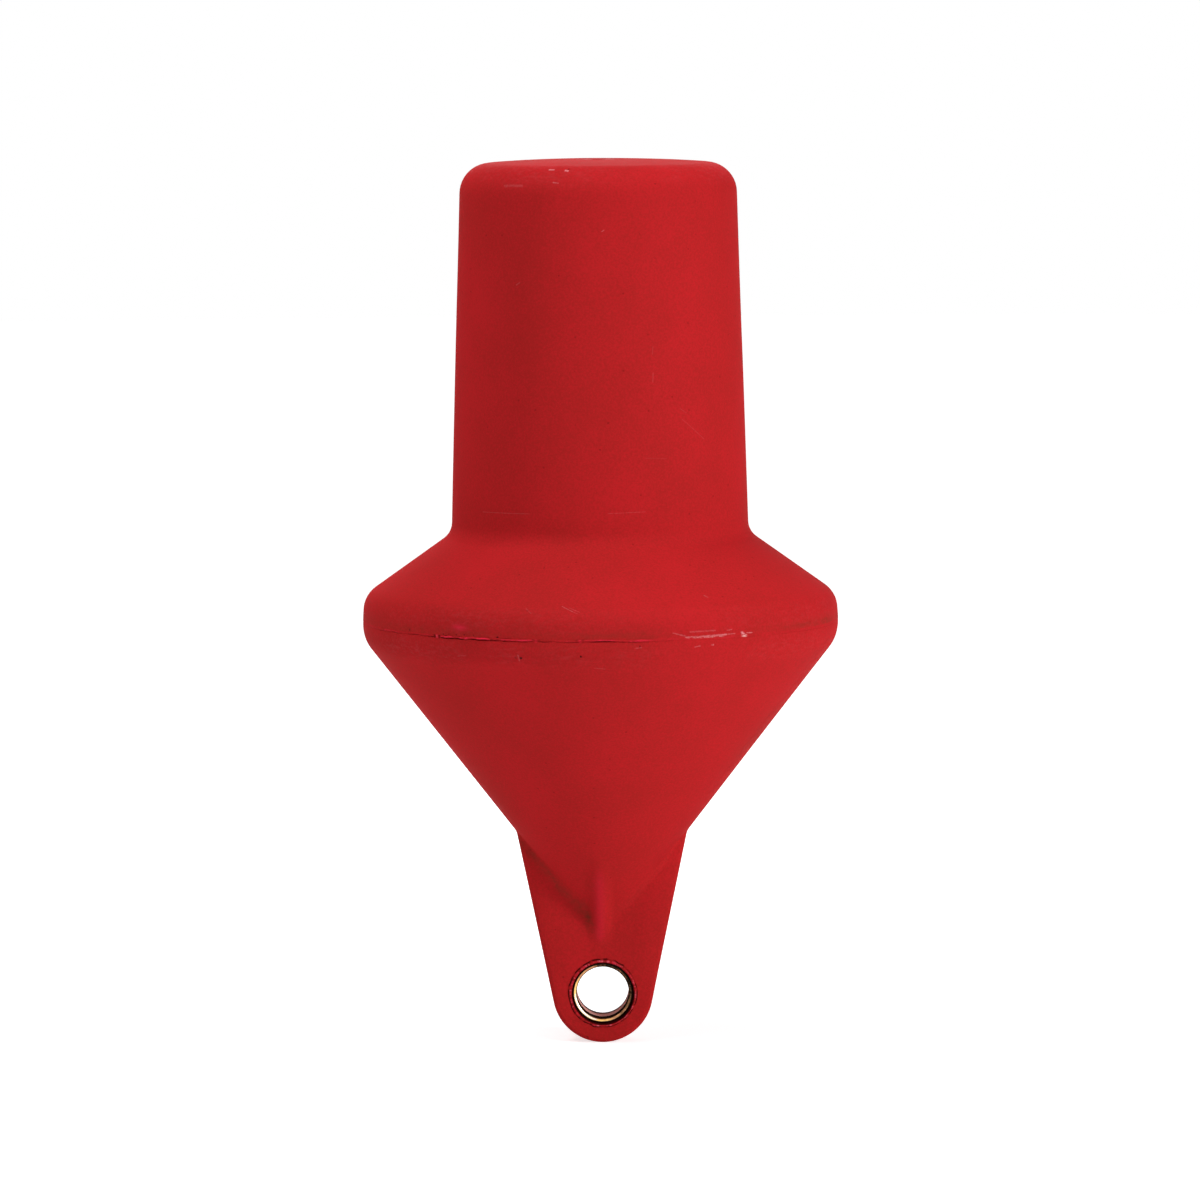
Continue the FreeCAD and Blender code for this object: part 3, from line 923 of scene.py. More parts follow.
@dataclass(frozen=True)
class LowerHull:
    """The lower moulding: half the belt, the cone, the mooring lug with its two gussets, and the eye's hole.

    Its skin is where the distance to cone, lug and gussets, joined with hollow roundings, is nought.
    """

    sizes: Sizes
    belt_drop: float = 0.0145
    belt_round: float = 0.0305
    cone_drop: float = 0.2585
    seam_chamfer: float = 0.0015
    lug_lean: float = math.radians(11.9)
    lug_edge_round: float = 0.004
    lug_fall: float = 0.0026
    fall_width: float = 0.024
    fall_more: float = 0.7
    root_round: float = 0.006
    gusset_aside: float = -0.0022
    gusset_half_width: float = 0.007
    gusset_head: tuple[float, float] = (0.051, -0.2045)
    gusset_foot: tuple[float, float] = (0.017, -0.273)
    gusset_crest_round: float = 0.0068
    gusset_root_round: float = 0.006
    seat: EyeSeat = EyeSeat()
    block_share: float = 0.9
    block_reach: float = 1.45
    # How dark the hole's rim is painted, as shade.
    rim_shade: float = 0.85
    columns: int = 384
    step: float = 0.0019
    ripple: Ripple = Ripple(depth=0.0004, around=5, wavelength=0.18, seed=8)
    scratches: tuple[Scratch, ...] = marked(
        Scratch,
        (22.6, -6.6, 24.0, -5.8, 0.8, 0.28), (27.0, -5.5, 27.4, -5.4, 1.2, 0.5),
        (-1.5, -22.5, 1.0, -23.3, 0.7, 0.12), (8.0, -6.2, 9.6, -5.5, 0.8, 0.2),
        (-36.5, -15.2, -34.0, -14.5, 0.9, 0.12), (-19.9, -12.4, -19.75, -16.8, 0.9, 0.30),
    )
    pits: tuple[Pit, ...] = marked(
        Pit,
        (-19.2, -14.6, 1.4, 1.0), (-20.6, -14.3, 1.3, 0.4), (-4.7, -12.5, 1.1, 1.0), (9.2, -4.5, 0.9, 0.5),
    )

    @property
    def cone_point(self) -> float:
        """The height of the cone's point."""
        return -(self.belt_drop + self.cone_drop)

    def bodies(self, points: Array) -> tuple[Array, Array, Array]:
        """Distances to the cone with its belt, to the lug and to the gussets, negative inside.

        Above the eye the lug's faces fall away towards its outline by f (1 + o / w)^2, with f the fall, o the
        distance to the outline and w the fall's width, and further on the +X side.

        Args:
            points: The points.

        Returns:
            The three distances of each point.
        """
        sizes = self.sizes
        across, along, level = np.moveaxis(points, -1, 0)
        radius = np.hypot(across, along)
        slope = math.atan2(sizes.belt_radius, self.cone_drop)
        cone = radius * math.cos(slope) - (level - self.cone_point) * math.sin(slope)
        cone = within(cone, radius - sizes.belt_radius, self.belt_round, math.cos(slope))
        aside, above = np.abs(across), level - sizes.eye_height
        side = aside * math.cos(self.lug_lean) - above * math.sin(self.lug_lean)
        on_end = aside * math.sin(self.lug_lean) + above * math.cos(self.lug_lean) < 0
        outline = np.where(on_end, np.hypot(aside, above), side) - sizes.end_radius
        fall = np.clip(1 + outline / self.fall_width, 0, 1.5) ** 2 * smooth(above, -0.01, 0.03)
        fall *= 1 + self.fall_more * smooth(across, 0.0, 0.02)
        lug = within(outline, np.abs(along) - sizes.half_lug + self.lug_fall * fall, self.lug_edge_round)
        (head, head_level), (foot, foot_level) = self.gusset_head, self.gusset_foot
        lean = math.atan2(head - foot, head_level - foot_level)
        crest = (np.abs(along) - foot) * math.cos(lean) - (level - foot_level) * math.sin(lean)
        flank = np.abs(across - self.gusset_aside) - self.gusset_half_width
        return cone, lug, within(flank, crest, self.gusset_crest_round)

    def distance(self, points: Array) -> Array:
        """Distance to the skin, where cone, lug and gussets are joined with roundings.

        The rounding between cone and lug narrows to a fifth at the lug's sides.

        Args:
            points: The points.

        Returns:
            The distance of each point, negative inside.
        """
        cone, lug, gusset = self.bodies(points)
        root = self.root_round * (1 - 0.8 * smooth(np.abs(points[..., 0]), 0.045, 0.07))
        return joined(joined(cone, lug, root), gusset, self.gusset_root_round)

    def skin_radius(self, bearing: Array, level: Array) -> Array:
        """How far from the axis the skin lies, found by halving the interval that holds it, less the chamfer.

        Args:
            bearing: The bearings.
            level: The heights.

        Returns:
            The radius at each place.
        """
        low = np.zeros(np.broadcast(bearing, level).shape)
        high = np.full_like(low, self.sizes.belt_radius * 1.02)
        for _ in range(32):
            middle = (low + high) / 2
            outside = self.distance(placed(middle, bearing, level)) > 0
            low, high = np.where(outside, low, middle), np.where(outside, middle, high)
        trim = np.maximum(level + self.seam_chamfer, 0)
        return np.minimum(low, self.sizes.belt_radius - trim)

    def levels(self) -> Array:
        """Heights of the rings, evenly spaced along the moulding's outline as seen through the eye.

        The lug's side, x = r / cos a + (z - e) tan a, leaves the cone, x = (z - p) s, where both are equal.

        Returns:
            The heights, from the seam down.
        """
        sizes = self.sizes
        belt, end = sizes.belt_radius, sizes.end_radius
        slope = belt / self.cone_drop
        lean, tilt = math.cos(self.lug_lean), math.tan(self.lug_lean)
        root = (end / lean - sizes.eye_height * tilt + self.cone_point * slope) / (slope - tilt)
        corners = [
            (belt - self.seam_chamfer, 0), (belt, -self.seam_chamfer), (belt, -self.belt_drop),
            ((root - self.cone_point) * slope, root), (end / lean - end * tilt, sizes.lug_bottom),
            (0, sizes.lug_bottom),
        ]
        return rounded_profile(corners, [0.2 * MM, self.belt_round, 4 * MM, end], self.step)[:-1, 1]

    def grid(self) -> tuple[Array, Array, Array]:
        """The skin's grid, whose columns lie evenly along each quarter of a ring.

        Returns:
            The bearing, radius and height of each point, ring by ring.
        """
        level = self.levels()[:, None]
        quarter = self.columns // 4
        coarse = np.linspace(0, TURN / 4, 8 * quarter)[None]
        radius = self.skin_radius(coarse, level)
        steps = np.hypot(np.diff(radius * np.sin(coarse)), np.diff(radius * np.cos(coarse)))
        length = np.pad(np.cumsum(steps, axis=1), ((0, 0), (1, 0)))
        share = np.linspace(0, 1, quarter + 1)
        first = np.array([np.interp(share * row[-1], row, coarse[0]) for row in length])
        there, back = first[:, :-1], first[:, :0:-1]
        bearing = np.hstack([there, TURN / 2 - back, TURN / 2 + there, TURN - back])
        return bearing, self.skin_radius(bearing, level), np.broadcast_to(level, bearing.shape)

    def block(self, points: Array) -> Block:
        """The cells near the eye, as far as a share of its radius up and down and to each side.

        Args:
            points: The skin's points, ring by ring.

        Returns:
            The block.
        """
        level = points[:, 0, 2]
        reach = self.block_share * self.sizes.bush_radius
        row = int(np.argmin(np.abs(level - self.sizes.eye_height)))
        half_columns = int(np.sum(points[row, : self.columns // 4, 0] < reach)) - 1
        return Block(row, round(reach / abs(level[row + 1] - level[row])), half_columns)

    def draw_round_eye(self, points: Array, block: Block, front: int) -> Array:
        """Draws the grid on one face of the lug round the eye's hole.

        With o and d a point's steps over and down from the eye as shares of the block's half width and
        height, and m the larger of them, it goes to m (o, d) / |(o, d)| times the hole's radius with its
        groove. Past the block, where m is 1, this fades out until m is the block's reach.

        Args:
            points: The skin's points, ring by ring, which it moves.
            block: The cells that the hole takes.
            front: 1 for the face in front, -1 for the one at the back.

        Returns:
            Whether the hole takes each cell of the grid.
        """
        rows, columns = points.shape[:2]
        hole, half = self.sizes.bush_radius, columns // 2
        offset = (np.arange(columns) + (half if front > 0 else 0)) % columns - half
        over = offset[None] / block.half_columns
        down = (np.arange(rows)[:, None] - block.row) / block.half_rows
        ring = np.maximum(np.abs(over), np.abs(down))
        spread = hole * ring / np.maximum(np.hypot(over, down), 1e-9)
        spread = spread * (1 + self.seat.gap(np.arctan2(-down, front * over)) / hole)
        keep = smooth(ring, 1, self.block_reach)
        for axis, place in ((0, front * over * spread), (2, self.sizes.eye_height - down * spread)):
            points[..., axis] = (1 - keep) * place + keep * points[..., axis]
        cells = np.zeros((rows - 1, columns), bool)
        inside = (offset >= -block.half_columns) & (offset < block.half_columns)
        cells[block.row - block.half_rows : block.row + block.half_rows] = inside
        return cells

    def build(self) -> Piece:
        """The moulding's skin, with the grid drawn round the eye's hole on both faces of the lug.

        Returns:
            The piece.
        """
        bearing, radius, level = self.grid()
        free = smooth(-level, self.seam_chamfer, 0.01) * smooth(level - self.sizes.lug_bottom, 0, 0.01)
        points = placed(radius - self.ripple.hollow(bearing, level) * free, bearing, level)
        block = self.block(points)
        cells = self.draw_round_eye(points, block, 1) | self.draw_round_eye(points, block, -1)
        skin = ring_quads(*radius.shape)[~cells.ravel()]
        return make_piece("lower_hull", *self.closed(points, skin, block))

    def closed(self, points: Array, skin: Array, block: Block) -> tuple[Array, list[Array], Marks]:
        """The skin with its top, its bottom and the wall of the eye's hole.

        Args:
            points: The skin's points, ring by ring.
            skin: The skin's faces.
            block: The cells that the hole takes.

        Returns:
            All points, all faces, and the values of the marks at each point.
        """
        rows, columns = points.shape[:2]
        high, wide = block.half_rows, block.half_columns
        up, side = np.arange(-high, high), np.arange(-wide, wide)
        down = np.concatenate([np.full(side.size, -high), up, np.full(side.size, high), -up])
        over = np.concatenate([side, np.full(up.size, wide), -side, np.full(up.size, -wide)])
        near = (block.row + down) * columns + over % columns
        far = (block.row + down) * columns + (columns // 2 - over) % columns
        first = (rows + 2) * columns
        floor = first + np.arange(near.size)
        sleeve = [near, floor, floor + near.size, far]
        wall = np.concatenate([
            np.stack([one, np.roll(one, -1), np.roll(two, -1), two], axis=-1)
            for one, two in zip(sleeve, sleeve[1:])
        ])
        flat = points.reshape(-1, 3)
        last = points[-1] * (0, 1, 0) + (0, 0, self.sizes.lug_bottom)
        middle = np.zeros((columns, 3))
        floors = self.groove_floor(flat[near], -1), self.groove_floor(flat[far], 1)
        everything = np.concatenate([flat, last, middle, *floors])
        bottom = ring_quads(2, columns) + (rows - 1) * columns
        top = np.stack([np.arange(columns), np.roll(np.arange(columns), -1)], axis=-1)
        cap = np.hstack([top, top[:, ::-1] + (rows + 1) * columns])
        # Painted shade: the rim of the eye's hole and the groove's floor are painted dark.
        crevice_shade = np.zeros(len(everything))
        crevice_shade[np.concatenate([near, far])] = self.rim_shade
        crevice_shade[first:] = 1
        return everything, [skin, wall, bottom, cap], {"crevice_shade": crevice_shade, **self.marks(everything)}

    def groove_floor(self, rim: Array, side: int) -> Array:
        """The groove's floor, where the hull closes in on the bush: the rim moved in along the eye and to it.

        Args:
            rim: The points of the hole's rim.
            side: 1 for the rim at the back, -1 for the one in front.

        Returns:
            A point of the floor for each point of the rim.
        """
        reach = rim[:, [0, 2]] - (0, self.sizes.eye_height)
        reach *= (self.sizes.bush_radius + self.seat.slack) / np.linalg.norm(reach, axis=1)[:, None]
        along = np.full(len(rim), side * (self.sizes.half_lug - self.seat.depth))
        return np.stack([reach[:, 0], along, self.sizes.eye_height + reach[:, 1]], axis=-1)

    def marks(self, points: Array) -> Marks:
        """Where the skin is rubbed, where shade is painted into it and where a highlight is painted on it.

        The belt's lower corner is a little rubbed, in patches. Shade is painted into the hollows, faint on
        both faces and most in the lee on the left of each face, where shade falls: s exp(-((c - k) / q)^2)
        exp(-(l / p)^2), where c and l are the distances to cone and lug, k is how far below the cone it lies,
        q and p how far it spreads and s its strength, and beside the gusset, as its painted shadow, the same
        with a further exp(-(g / 6 mm)^2) for its distance g. The gussets' crests are painted vivid, a painted
        highlight where they stand out, by 0.32 exp(-(x / 4.5 mm)^2) for x from their middle.

        Args:
            points: The points.

        Returns:
            Each mark's values.
        """
        across, along, level = np.moveaxis(points, -1, 0)
        cone, lug, gusset = self.bodies(points)
        bearing = bearing_of(points)
        worn = RingNoise(13, 31).at(bearing) * RingNoise(47, 32).at(bearing)
        # Painted shade: the hollows between cone and lug, and beside each gusset, are painted dark, most on
        # the left of each face, where shade falls.
        left = smooth(-across * np.sign(-along), 0.001, 0.006)
        on_lug = bell(lug, 0.004)
        root = on_lug * bell(cone - 0.0024, 0.004) * (0.04 + 0.36 * left)
        beside = on_lug * bell(cone - 0.005, 0.005) * bell(gusset, 0.006) * 0.8 * left
        patch = 0.75 + 0.5 * RingNoise(91, 33).at(bearing)
        proud = smooth(np.minimum(cone, lug), 0.0002, 0.0025) * smooth(-level, 0.15, 0.19)
        return {
            "wear": np.clip(bell(level + 0.012, 0.01) * 0.08 * worn, 0, 1),
            "stain_and_shade": np.maximum(root, beside) * patch * smooth(-level, 0.15, 0.2),
            # Painted highlight: the gusset's crest is painted vivid.
            "fresh_and_highlight": 0.32 * proud * bell(across - self.gusset_aside, 0.0045),
        }

    def make(self) -> list[Piece]:
        """The finished moulding."""
        material = RED.material("lower_hull_red", self.scratches, self.pits)
        return [finished(self.build(), material, Slot.HULL, "lower_moulding")]


@dataclass(frozen=True)
class SeamFlash:
    """The plastic that filled the mould's joint round the belt: a trimmed fin over a groove, both ragged.

    The strengths of fin and groove at the front are given at bearings in degrees; round the rest of the
    belt they follow noise. A tick has a bearing and a strength; a rub or a knock a bearing, a spread and a
    strength. Middles and spreads across the band are shares of its half height.
    """

    sizes: Sizes
    half_height: float = 0.0015
    depth: float = 0.0016
    groove_depth: float = 0.0009
    sunk: float = 0.00002
    columns: int = 2400
    across: int = 28
    front: float = 100
    fin_middle: float = 0.12
    groove_middle: float = -0.5
    groove_spread: float = 0.34
    nick_middle: float = 0.72
    nick_spread: float = 0.16
    tear_middle: float = -0.1
    tear_spread: float = 0.5
    fin: Knots = (
        (-90, 0.05), (-72, 0.15), (-66, 0.5), (-58, 0.4), (-52, 0.12), (-48, 0.3), (-44, 0.55), (-41, 1.0),
        (-26, 1.0), (-25, 0.15), (-23.5, 0.8), (-17, 0.7), (-15.8, 0.1), (-14, 0.45), (-11, 0.2), (-6, 0.25),
        (-3, 0.75), (9, 0.7), (13, 0.15), (90, 0.03),
    )
    groove: Knots = (
        (-90, 0.05), (-72, 0.1), (-66, 0.4), (-54, 0.25), (-48, 0.6), (-43, 0.9), (-40, 1.0), (-26, 1.0),
        (-16, 0.85), (-11, 0.4), (-6, 0.6), (-2, 0.95), (7, 0.8), (12, 0.3), (18, 0.06), (44, 0.04),
        (50, 0.12), (90, 0.1),
    )
    ticks: Knots = ((-42.3, 1), (-15.3, 0.35), (-4.9, 0.45), (112, 0.8), (171, 1), (239, 0.6))
    rubs: tuple[Triple, ...] = (
        (20.5, 1.6, 0.5), (24, 2.5, 0.9), (28, 2.5, 0.7), (120, 10, 0.5), (-155, 12, 0.5), (100, 4, 0.8),
    )
    knocks: tuple[Triple, ...] = ((36.1, 0.7, 2.2), (-42.3, 0.22, 0.8))

    def build(self) -> Piece:
        """A band over the hull's joint: flush with the belt, less the groove, plus the fin.

        At a share s from -1 to 1 of the band's height the groove is g exp(-((s - m - w) / q)^2) deep and
        the fin stands f (1 - b) exp(-((s - n - w) / t)^4) proud. Here g and f are the groove and fin left
        at that bearing, b where the fin is broken off, w their wander, t the fin's thickness, m and n their
        middles and q the groove's spread. Short nicks above the fin are 0.7 of the groove's depth. The
        groove ends where the fin stands, and both fade at the edges by (0.5 + 0.5 cos(pi s))^0.5. Shade is
        painted dark in the groove, where the fin is broken off and beside the ticks, and the fin is painted
        vivid, partly a painted highlight on its top.

        Returns:
            The piece.
        """
        bearing = bearings(self.columns)[None]
        share = np.linspace(-1, 1, self.across)[:, None]
        belt = self.sizes.belt_radius
        fin, groove = self.strength(self.fin, 1, bearing), self.strength(self.groove, 3, bearing)
        wander = (RingNoise(37, 4).at(bearing) - 0.5) * 0.5 + (RingNoise(190, 5).at(bearing) - 0.5) * 0.6
        thick = 0.26 + 0.26 * RingNoise(150, 6).at(bearing)
        torn = smooth(RingNoise(190, 299).at(bearing), 0.72, 0.84)
        proud = fin * (1 - torn) * bell(share - self.fin_middle - wander, thick, 4)
        hollow = groove * bell(share - self.groove_middle - wander, self.groove_spread) * (1 - proud)
        nicks = (RingNoise(640, 8).at(bearing) > 0.62) * bell(share - self.nick_middle, self.nick_spread)
        hollow = np.maximum(hollow, nicks * smooth(fin, 0.5, 0.9) * 0.7)
        rise = proud * (self.sizes.flash_radius - belt) - hollow * self.groove_depth
        rise *= (0.5 + 0.5 * np.cos(np.pi * share)) ** 0.5
        around = ((1, 1), (0, 0))
        radius = np.pad(belt - self.sunk + rise, around, constant_values=belt - self.depth)
        height = np.pad(share * self.half_height, around, mode="edge")
        tear = torn * smooth(fin, 0.3, 0.7) * bell(share - self.tear_middle - wander, self.tear_spread) * 0.8
        tick, beside = (mark * (np.abs(share) < 1) for mark in self.tick_marks(bearing))
        vivid = 0.3 + 0.7 * smooth(mixed(bearing, RingNoise(80, 9), RingNoise(300, 10), 0.6), 0.25, 0.7)
        # Painted shade in the groove, where the fin is torn off and beside the ticks; the fin is painted
        # vivid, partly a painted highlight.
        marks = {
            "wear": self.scuff(bearing, share),
            "crevice_shade": np.clip(np.maximum.reduce([hollow * 0.9, tear, beside * 0.8]), 0, 1),
            "fresh_and_highlight": np.clip(np.maximum(proud * vivid, tick), 0, 1),
        }
        marks = {name: np.pad(values, around) for name, values in marks.items()}
        faces = ring_quads(self.across + 2, self.columns, closed=True)
        return make_piece("seam_flash", placed(radius, bearing, height), [faces], marks, sharp_above=70)

    def strength(self, knots: Knots, seed: int, bearing: Array) -> Array:
        """How much of the fin or the groove is left, from 0 to 1.

        Args:
            knots: Bearings at the front, in degrees, and the strength at each.
            seed: The seed of the noises that break it up.
            bearing: The bearings to give it for.

        Returns:
            The strength at each bearing: (v (1 - a) + n a) k, with v taken between the knots, n coarse
            noise, a how far round towards the back it is, and k fine noise from 0.4 to 1.
        """
        degrees = degrees_from(0, bearing)
        away = smooth(np.abs(degrees), self.front - 10, self.front + 5)
        patchy = smooth(RingNoise(53, seed).at(bearing), 0.25, 0.7) * 0.85
        fine = mixed(bearing, RingNoise(170, seed + 20), RingNoise(420, seed + 30))
        return (between(knots, degrees) * (1 - away) + patchy * away) * (0.4 + 0.6 * smooth(fine, 0.3, 0.62))

    def tick_marks(self, bearing: Array) -> list[Array]:
        """Where the joint was nicked: s exp(-((o - a) / 0.3)^2) at o degrees from a tick of strength s.

        Args:
            bearing: The bearings.

        Returns:
            The bright ticks, where a is 0, and the painted shade on both sides of each, where it is 0.75.
        """
        middles, strengths = np.array(self.ticks).T[..., None]
        offset = np.abs(degrees_from(middles, bearing))
        return [(bell(offset - away, 0.3) * strengths).sum(axis=0)[None] for away in (0, 0.75)]

    def scuff(self, bearing: Array, share: Array) -> Array:
        """How whitened the band is, by hard knocks and by fainter rubbing along its upper edge.

        Each adds s exp(-((b - m) / q)^n) at the bearing b, with n 2 for a rub and 4 for a knock.

        Args:
            bearing: The bearings.
            share: The shares of the band's half height.

        Returns:
            The whitening at each place.
        """
        total = np.zeros(np.broadcast(bearing, share).shape)
        rubbed, knocked = smooth(share, 0.1, 0.9), smooth(share, -0.6, 0.2)
        for marks, reached, power in ((self.rubs, rubbed, 2), (self.knocks, knocked, 4)):
            for middle, spread, strength in marks:
                total += reached * strength * bell(degrees_from(middle, bearing), spread, power)
        return total * (0.6 + 0.5 * RingNoise(210, 7).at(bearing))

    def make(self) -> list[Piece]:
        """The finished band."""
        plastic = replace(RED, whitened=(0.88, 0.46, 0.44, 1), fresh_and_highlight=(0.82, 0.022, 0.058, 1))
        return [finished(self.build(), plastic.material("seam_flash_red"), Slot.FLASH, "seam_bead")]


@dataclass(frozen=True)
class EyeCollar:
    """The thin torn rim of plastic that stands up round the bush's groove on each face of the lug."""

    sizes: Sizes
    seat: EyeSeat = EyeSeat()
    clear: float = 0.0001
    outer: float = 0.0293
    outer_wander: float = 0.0007
    height: float = 0.0011
    fringe: float = 0.00012
    sink: float = 0.0008
    arch_share: float = 0.76
    nub: float = 255
    nub_spread: float = 3.2
    nub_reach: float = 0.0009
    columns: int = 480
    across: int = 20

    def build(self, side: int, name: str) -> Piece:
        """One rim: a closed loop of section, a ragged arch with a fringe outside it, round the eye; its edges
        and fringe are painted dark as shade, and its crest vivid, partly a painted highlight.

        At a share u of its width the arch stands h n sin(pi u)^0.5 above the lug's face, with h its height
        and n rough noise. In front a nub stands out of it at one place.

        Args:
            side: 1 for the rim at the back, -1 for the one in front.
            name: The piece's name.

        Returns:
            The rim.
        """
        turn = bearings(self.columns)[None]
        share = np.linspace(0, 1, self.across)[:, None]
        below = ((0, self.across), (0, 0))
        rough = mixed(turn, RingNoise(90, 40 + side), RingNoise(230, 50 + side))
        torn = smooth(RingNoise(67, 70 + side).at(turn), 0.35, 0.75) * smooth(rough, 0.35, 0.65)
        # How strongly the painted shade at the rim's edges shows, in patches round the ring.
        stain = smooth(RingNoise(59, 80 + side).at(turn), 0.15, 0.6)
        nub = bell(turn - math.radians(self.nub), math.radians(self.nub_spread)) * (side < 0)
        inner = self.sizes.bush_radius + self.seat.gap(turn) + self.clear
        wander = (RingNoise(47, 60 + side).at(turn) - 0.5) * self.outer_wander
        outer = self.outer + wander + nub * self.nub_reach
        radius = inner + np.concatenate([share, share[::-1]]) * (outer - inner)
        middle = np.sin(np.pi * np.clip(share / self.arch_share, 0, 1))
        arch = middle**0.5 * np.clip(0.25 + 0.75 * rough + nub, 0, 1)
        fringe = self.fringe * (1 - smooth(share, 0.9, 1) * 1.5)
        lift = np.pad(np.maximum(arch * self.height, fringe), below, constant_values=-self.sink)
        points = self.sizes.round_eye(radius, side * (self.sizes.half_lug + lift), turn)
        vivid = smooth(rough, 0.35, 0.7) * (0.3 + 0.7 * torn)
        whole = middle**0.6 * (0.5 + 0.5 * smooth(rough, 0.1, 0.6))
        # Painted highlight and shade: the crest is painted vivid and pale where torn, partly a painted
        # highlight, and the edges and fringe are painted dark as shade.
        marks = {
            "wear": middle**2 * np.clip(0.05 + 1.1 * torn + nub, 0, 1),
            "fresh_and_highlight": middle * np.clip(vivid + nub, 0, 1),
            "crevice_shade": (1 - whole) * (0.3 + 0.6 * stain),
        }
        marks = {mark: np.pad(values, below) for mark, values in marks.items()}
        return make_piece(name, points, [ring_quads(2 * self.across, self.columns, closed=True)], marks)

    def make(self) -> list[Piece]:
        """Both rims in one material of their own.

        Returns:
            The finished rims, the front one first.
        """
        plastic = replace(RED, whitened=(0.85, 0.20, 0.26, 1), fresh_and_highlight=(0.72, 0.03, 0.06, 1), peel=0.6)
        material = plastic.material("eye_collar_red")
        rims = (self.build(-1, "eye_collar_front"), self.build(1, "eye_collar_back"))
        return [finished(rim, material, Slot.HULL) for rim in rims]


@dataclass(frozen=True)
class MooringBush:
    """The brass bush that lines the mooring eye: its rounded mouths are painted bright, partly rubbed by the
    shackle and partly a painted highlight.

    How bright the mouths are painted is given at angles in degrees from +X towards +Z: a painted highlight
    on the lower left, painted dark reflection above and on the right. The pale band, a painted reflection
    in the bore, has two pairs of places along the eye: it sets in between the first two and ends between
    the others.
    """

    sizes: Sizes
    wall: float = 0.003
    recess: float = 0.0002
    outer_round: float = 0.0008
    mouth_round: float = 0.0021
    # Painted highlight and reflection: high values on the lower left paint the highlight, low ones above and
    # on the right paint dark reflection.
    rubbed: Knots = (
        (0, 0.30), (20, 0.26), (50, 0.32), (75, 0.22), (95, 0.28), (112, 0.48), (150, 0.58), (172, 0.8),
        (190, 0.95), (215, 1.0), (250, 1.0), (275, 0.72), (300, 0.48), (330, 0.36), (360, 0.30),
    )
    # Where the painted reflection band in the bore begins and ends along the eye.
    scale: Knots = ((-8 * MM, -3 * MM), (8.5 * MM, 12.5 * MM))
    columns: int = 320
    step: float = 0.35 * MM

    def build(self) -> Piece:
        """A closed section turned round the eye's axis: a straight tube with rounded mouths.

        Returns:
            The piece.
        """
        outer = self.sizes.bush_radius
        inner, half = outer - self.wall, self.sizes.half_lug - self.recess
        corners = [(outer, 0), (outer, half), (inner, half), (inner, 0)]
        section = rounded_profile(corners, [self.outer_round, self.mouth_round], self.step)
        section = np.vstack([section, section[-2:0:-1] * (1, -1)])
        turn = bearings(self.columns)[None]
        radius, along = section[:, :1], section[:, 1:]
        faces = ring_quads(len(section), self.columns, closed=True)
        return make_piece(
            "bush", self.sizes.round_eye(radius, along, turn), [faces], self.marks(radius, along, turn)
        )

    def marks(self, radius: Array, along: Array, turn: Array) -> Marks:
        """How dark the brass is painted, and where a pale band is painted in the bore as a painted
        reflection.

        Brightest, a painted highlight, are the mouths on their lower left; outside and in the bore the brass
        is black, in the bore partly painted shade.

        Args:
            radius: The distances from the eye's axis.
            along: The places along it.
            turn: The angles round it.

        Returns:
            Each mark's values.
        """
        outer, half = self.sizes.bush_radius, self.sizes.half_lug - self.recess
        on_mouth = smooth(np.abs(along), half - 1.2 * MM, half - 0.6 * MM)
        on_mouth = on_mouth * (1 - smooth(radius, outer - 1.0 * MM, outer - 0.5 * MM))
        in_bore = radius < outer - self.wall + 0.5 * MM
        begin, end = self.scale
        return {
            # Painted highlight and dark reflection on the mouths, black elsewhere.
            "tarnish_and_reflection": 1 - on_mouth * between(self.rubbed, np.degrees(turn)),
            "painted_reflection_band": in_bore * smooth(along, *begin) * (1 - smooth(along, *end)) + 0 * turn,
        }

    def make(self) -> list[Piece]:
        """The finished bush."""
        return [finished(self.build(), TarnishedBrass().material("bush_brass"), Slot.BUSH, "mooring_bush")]


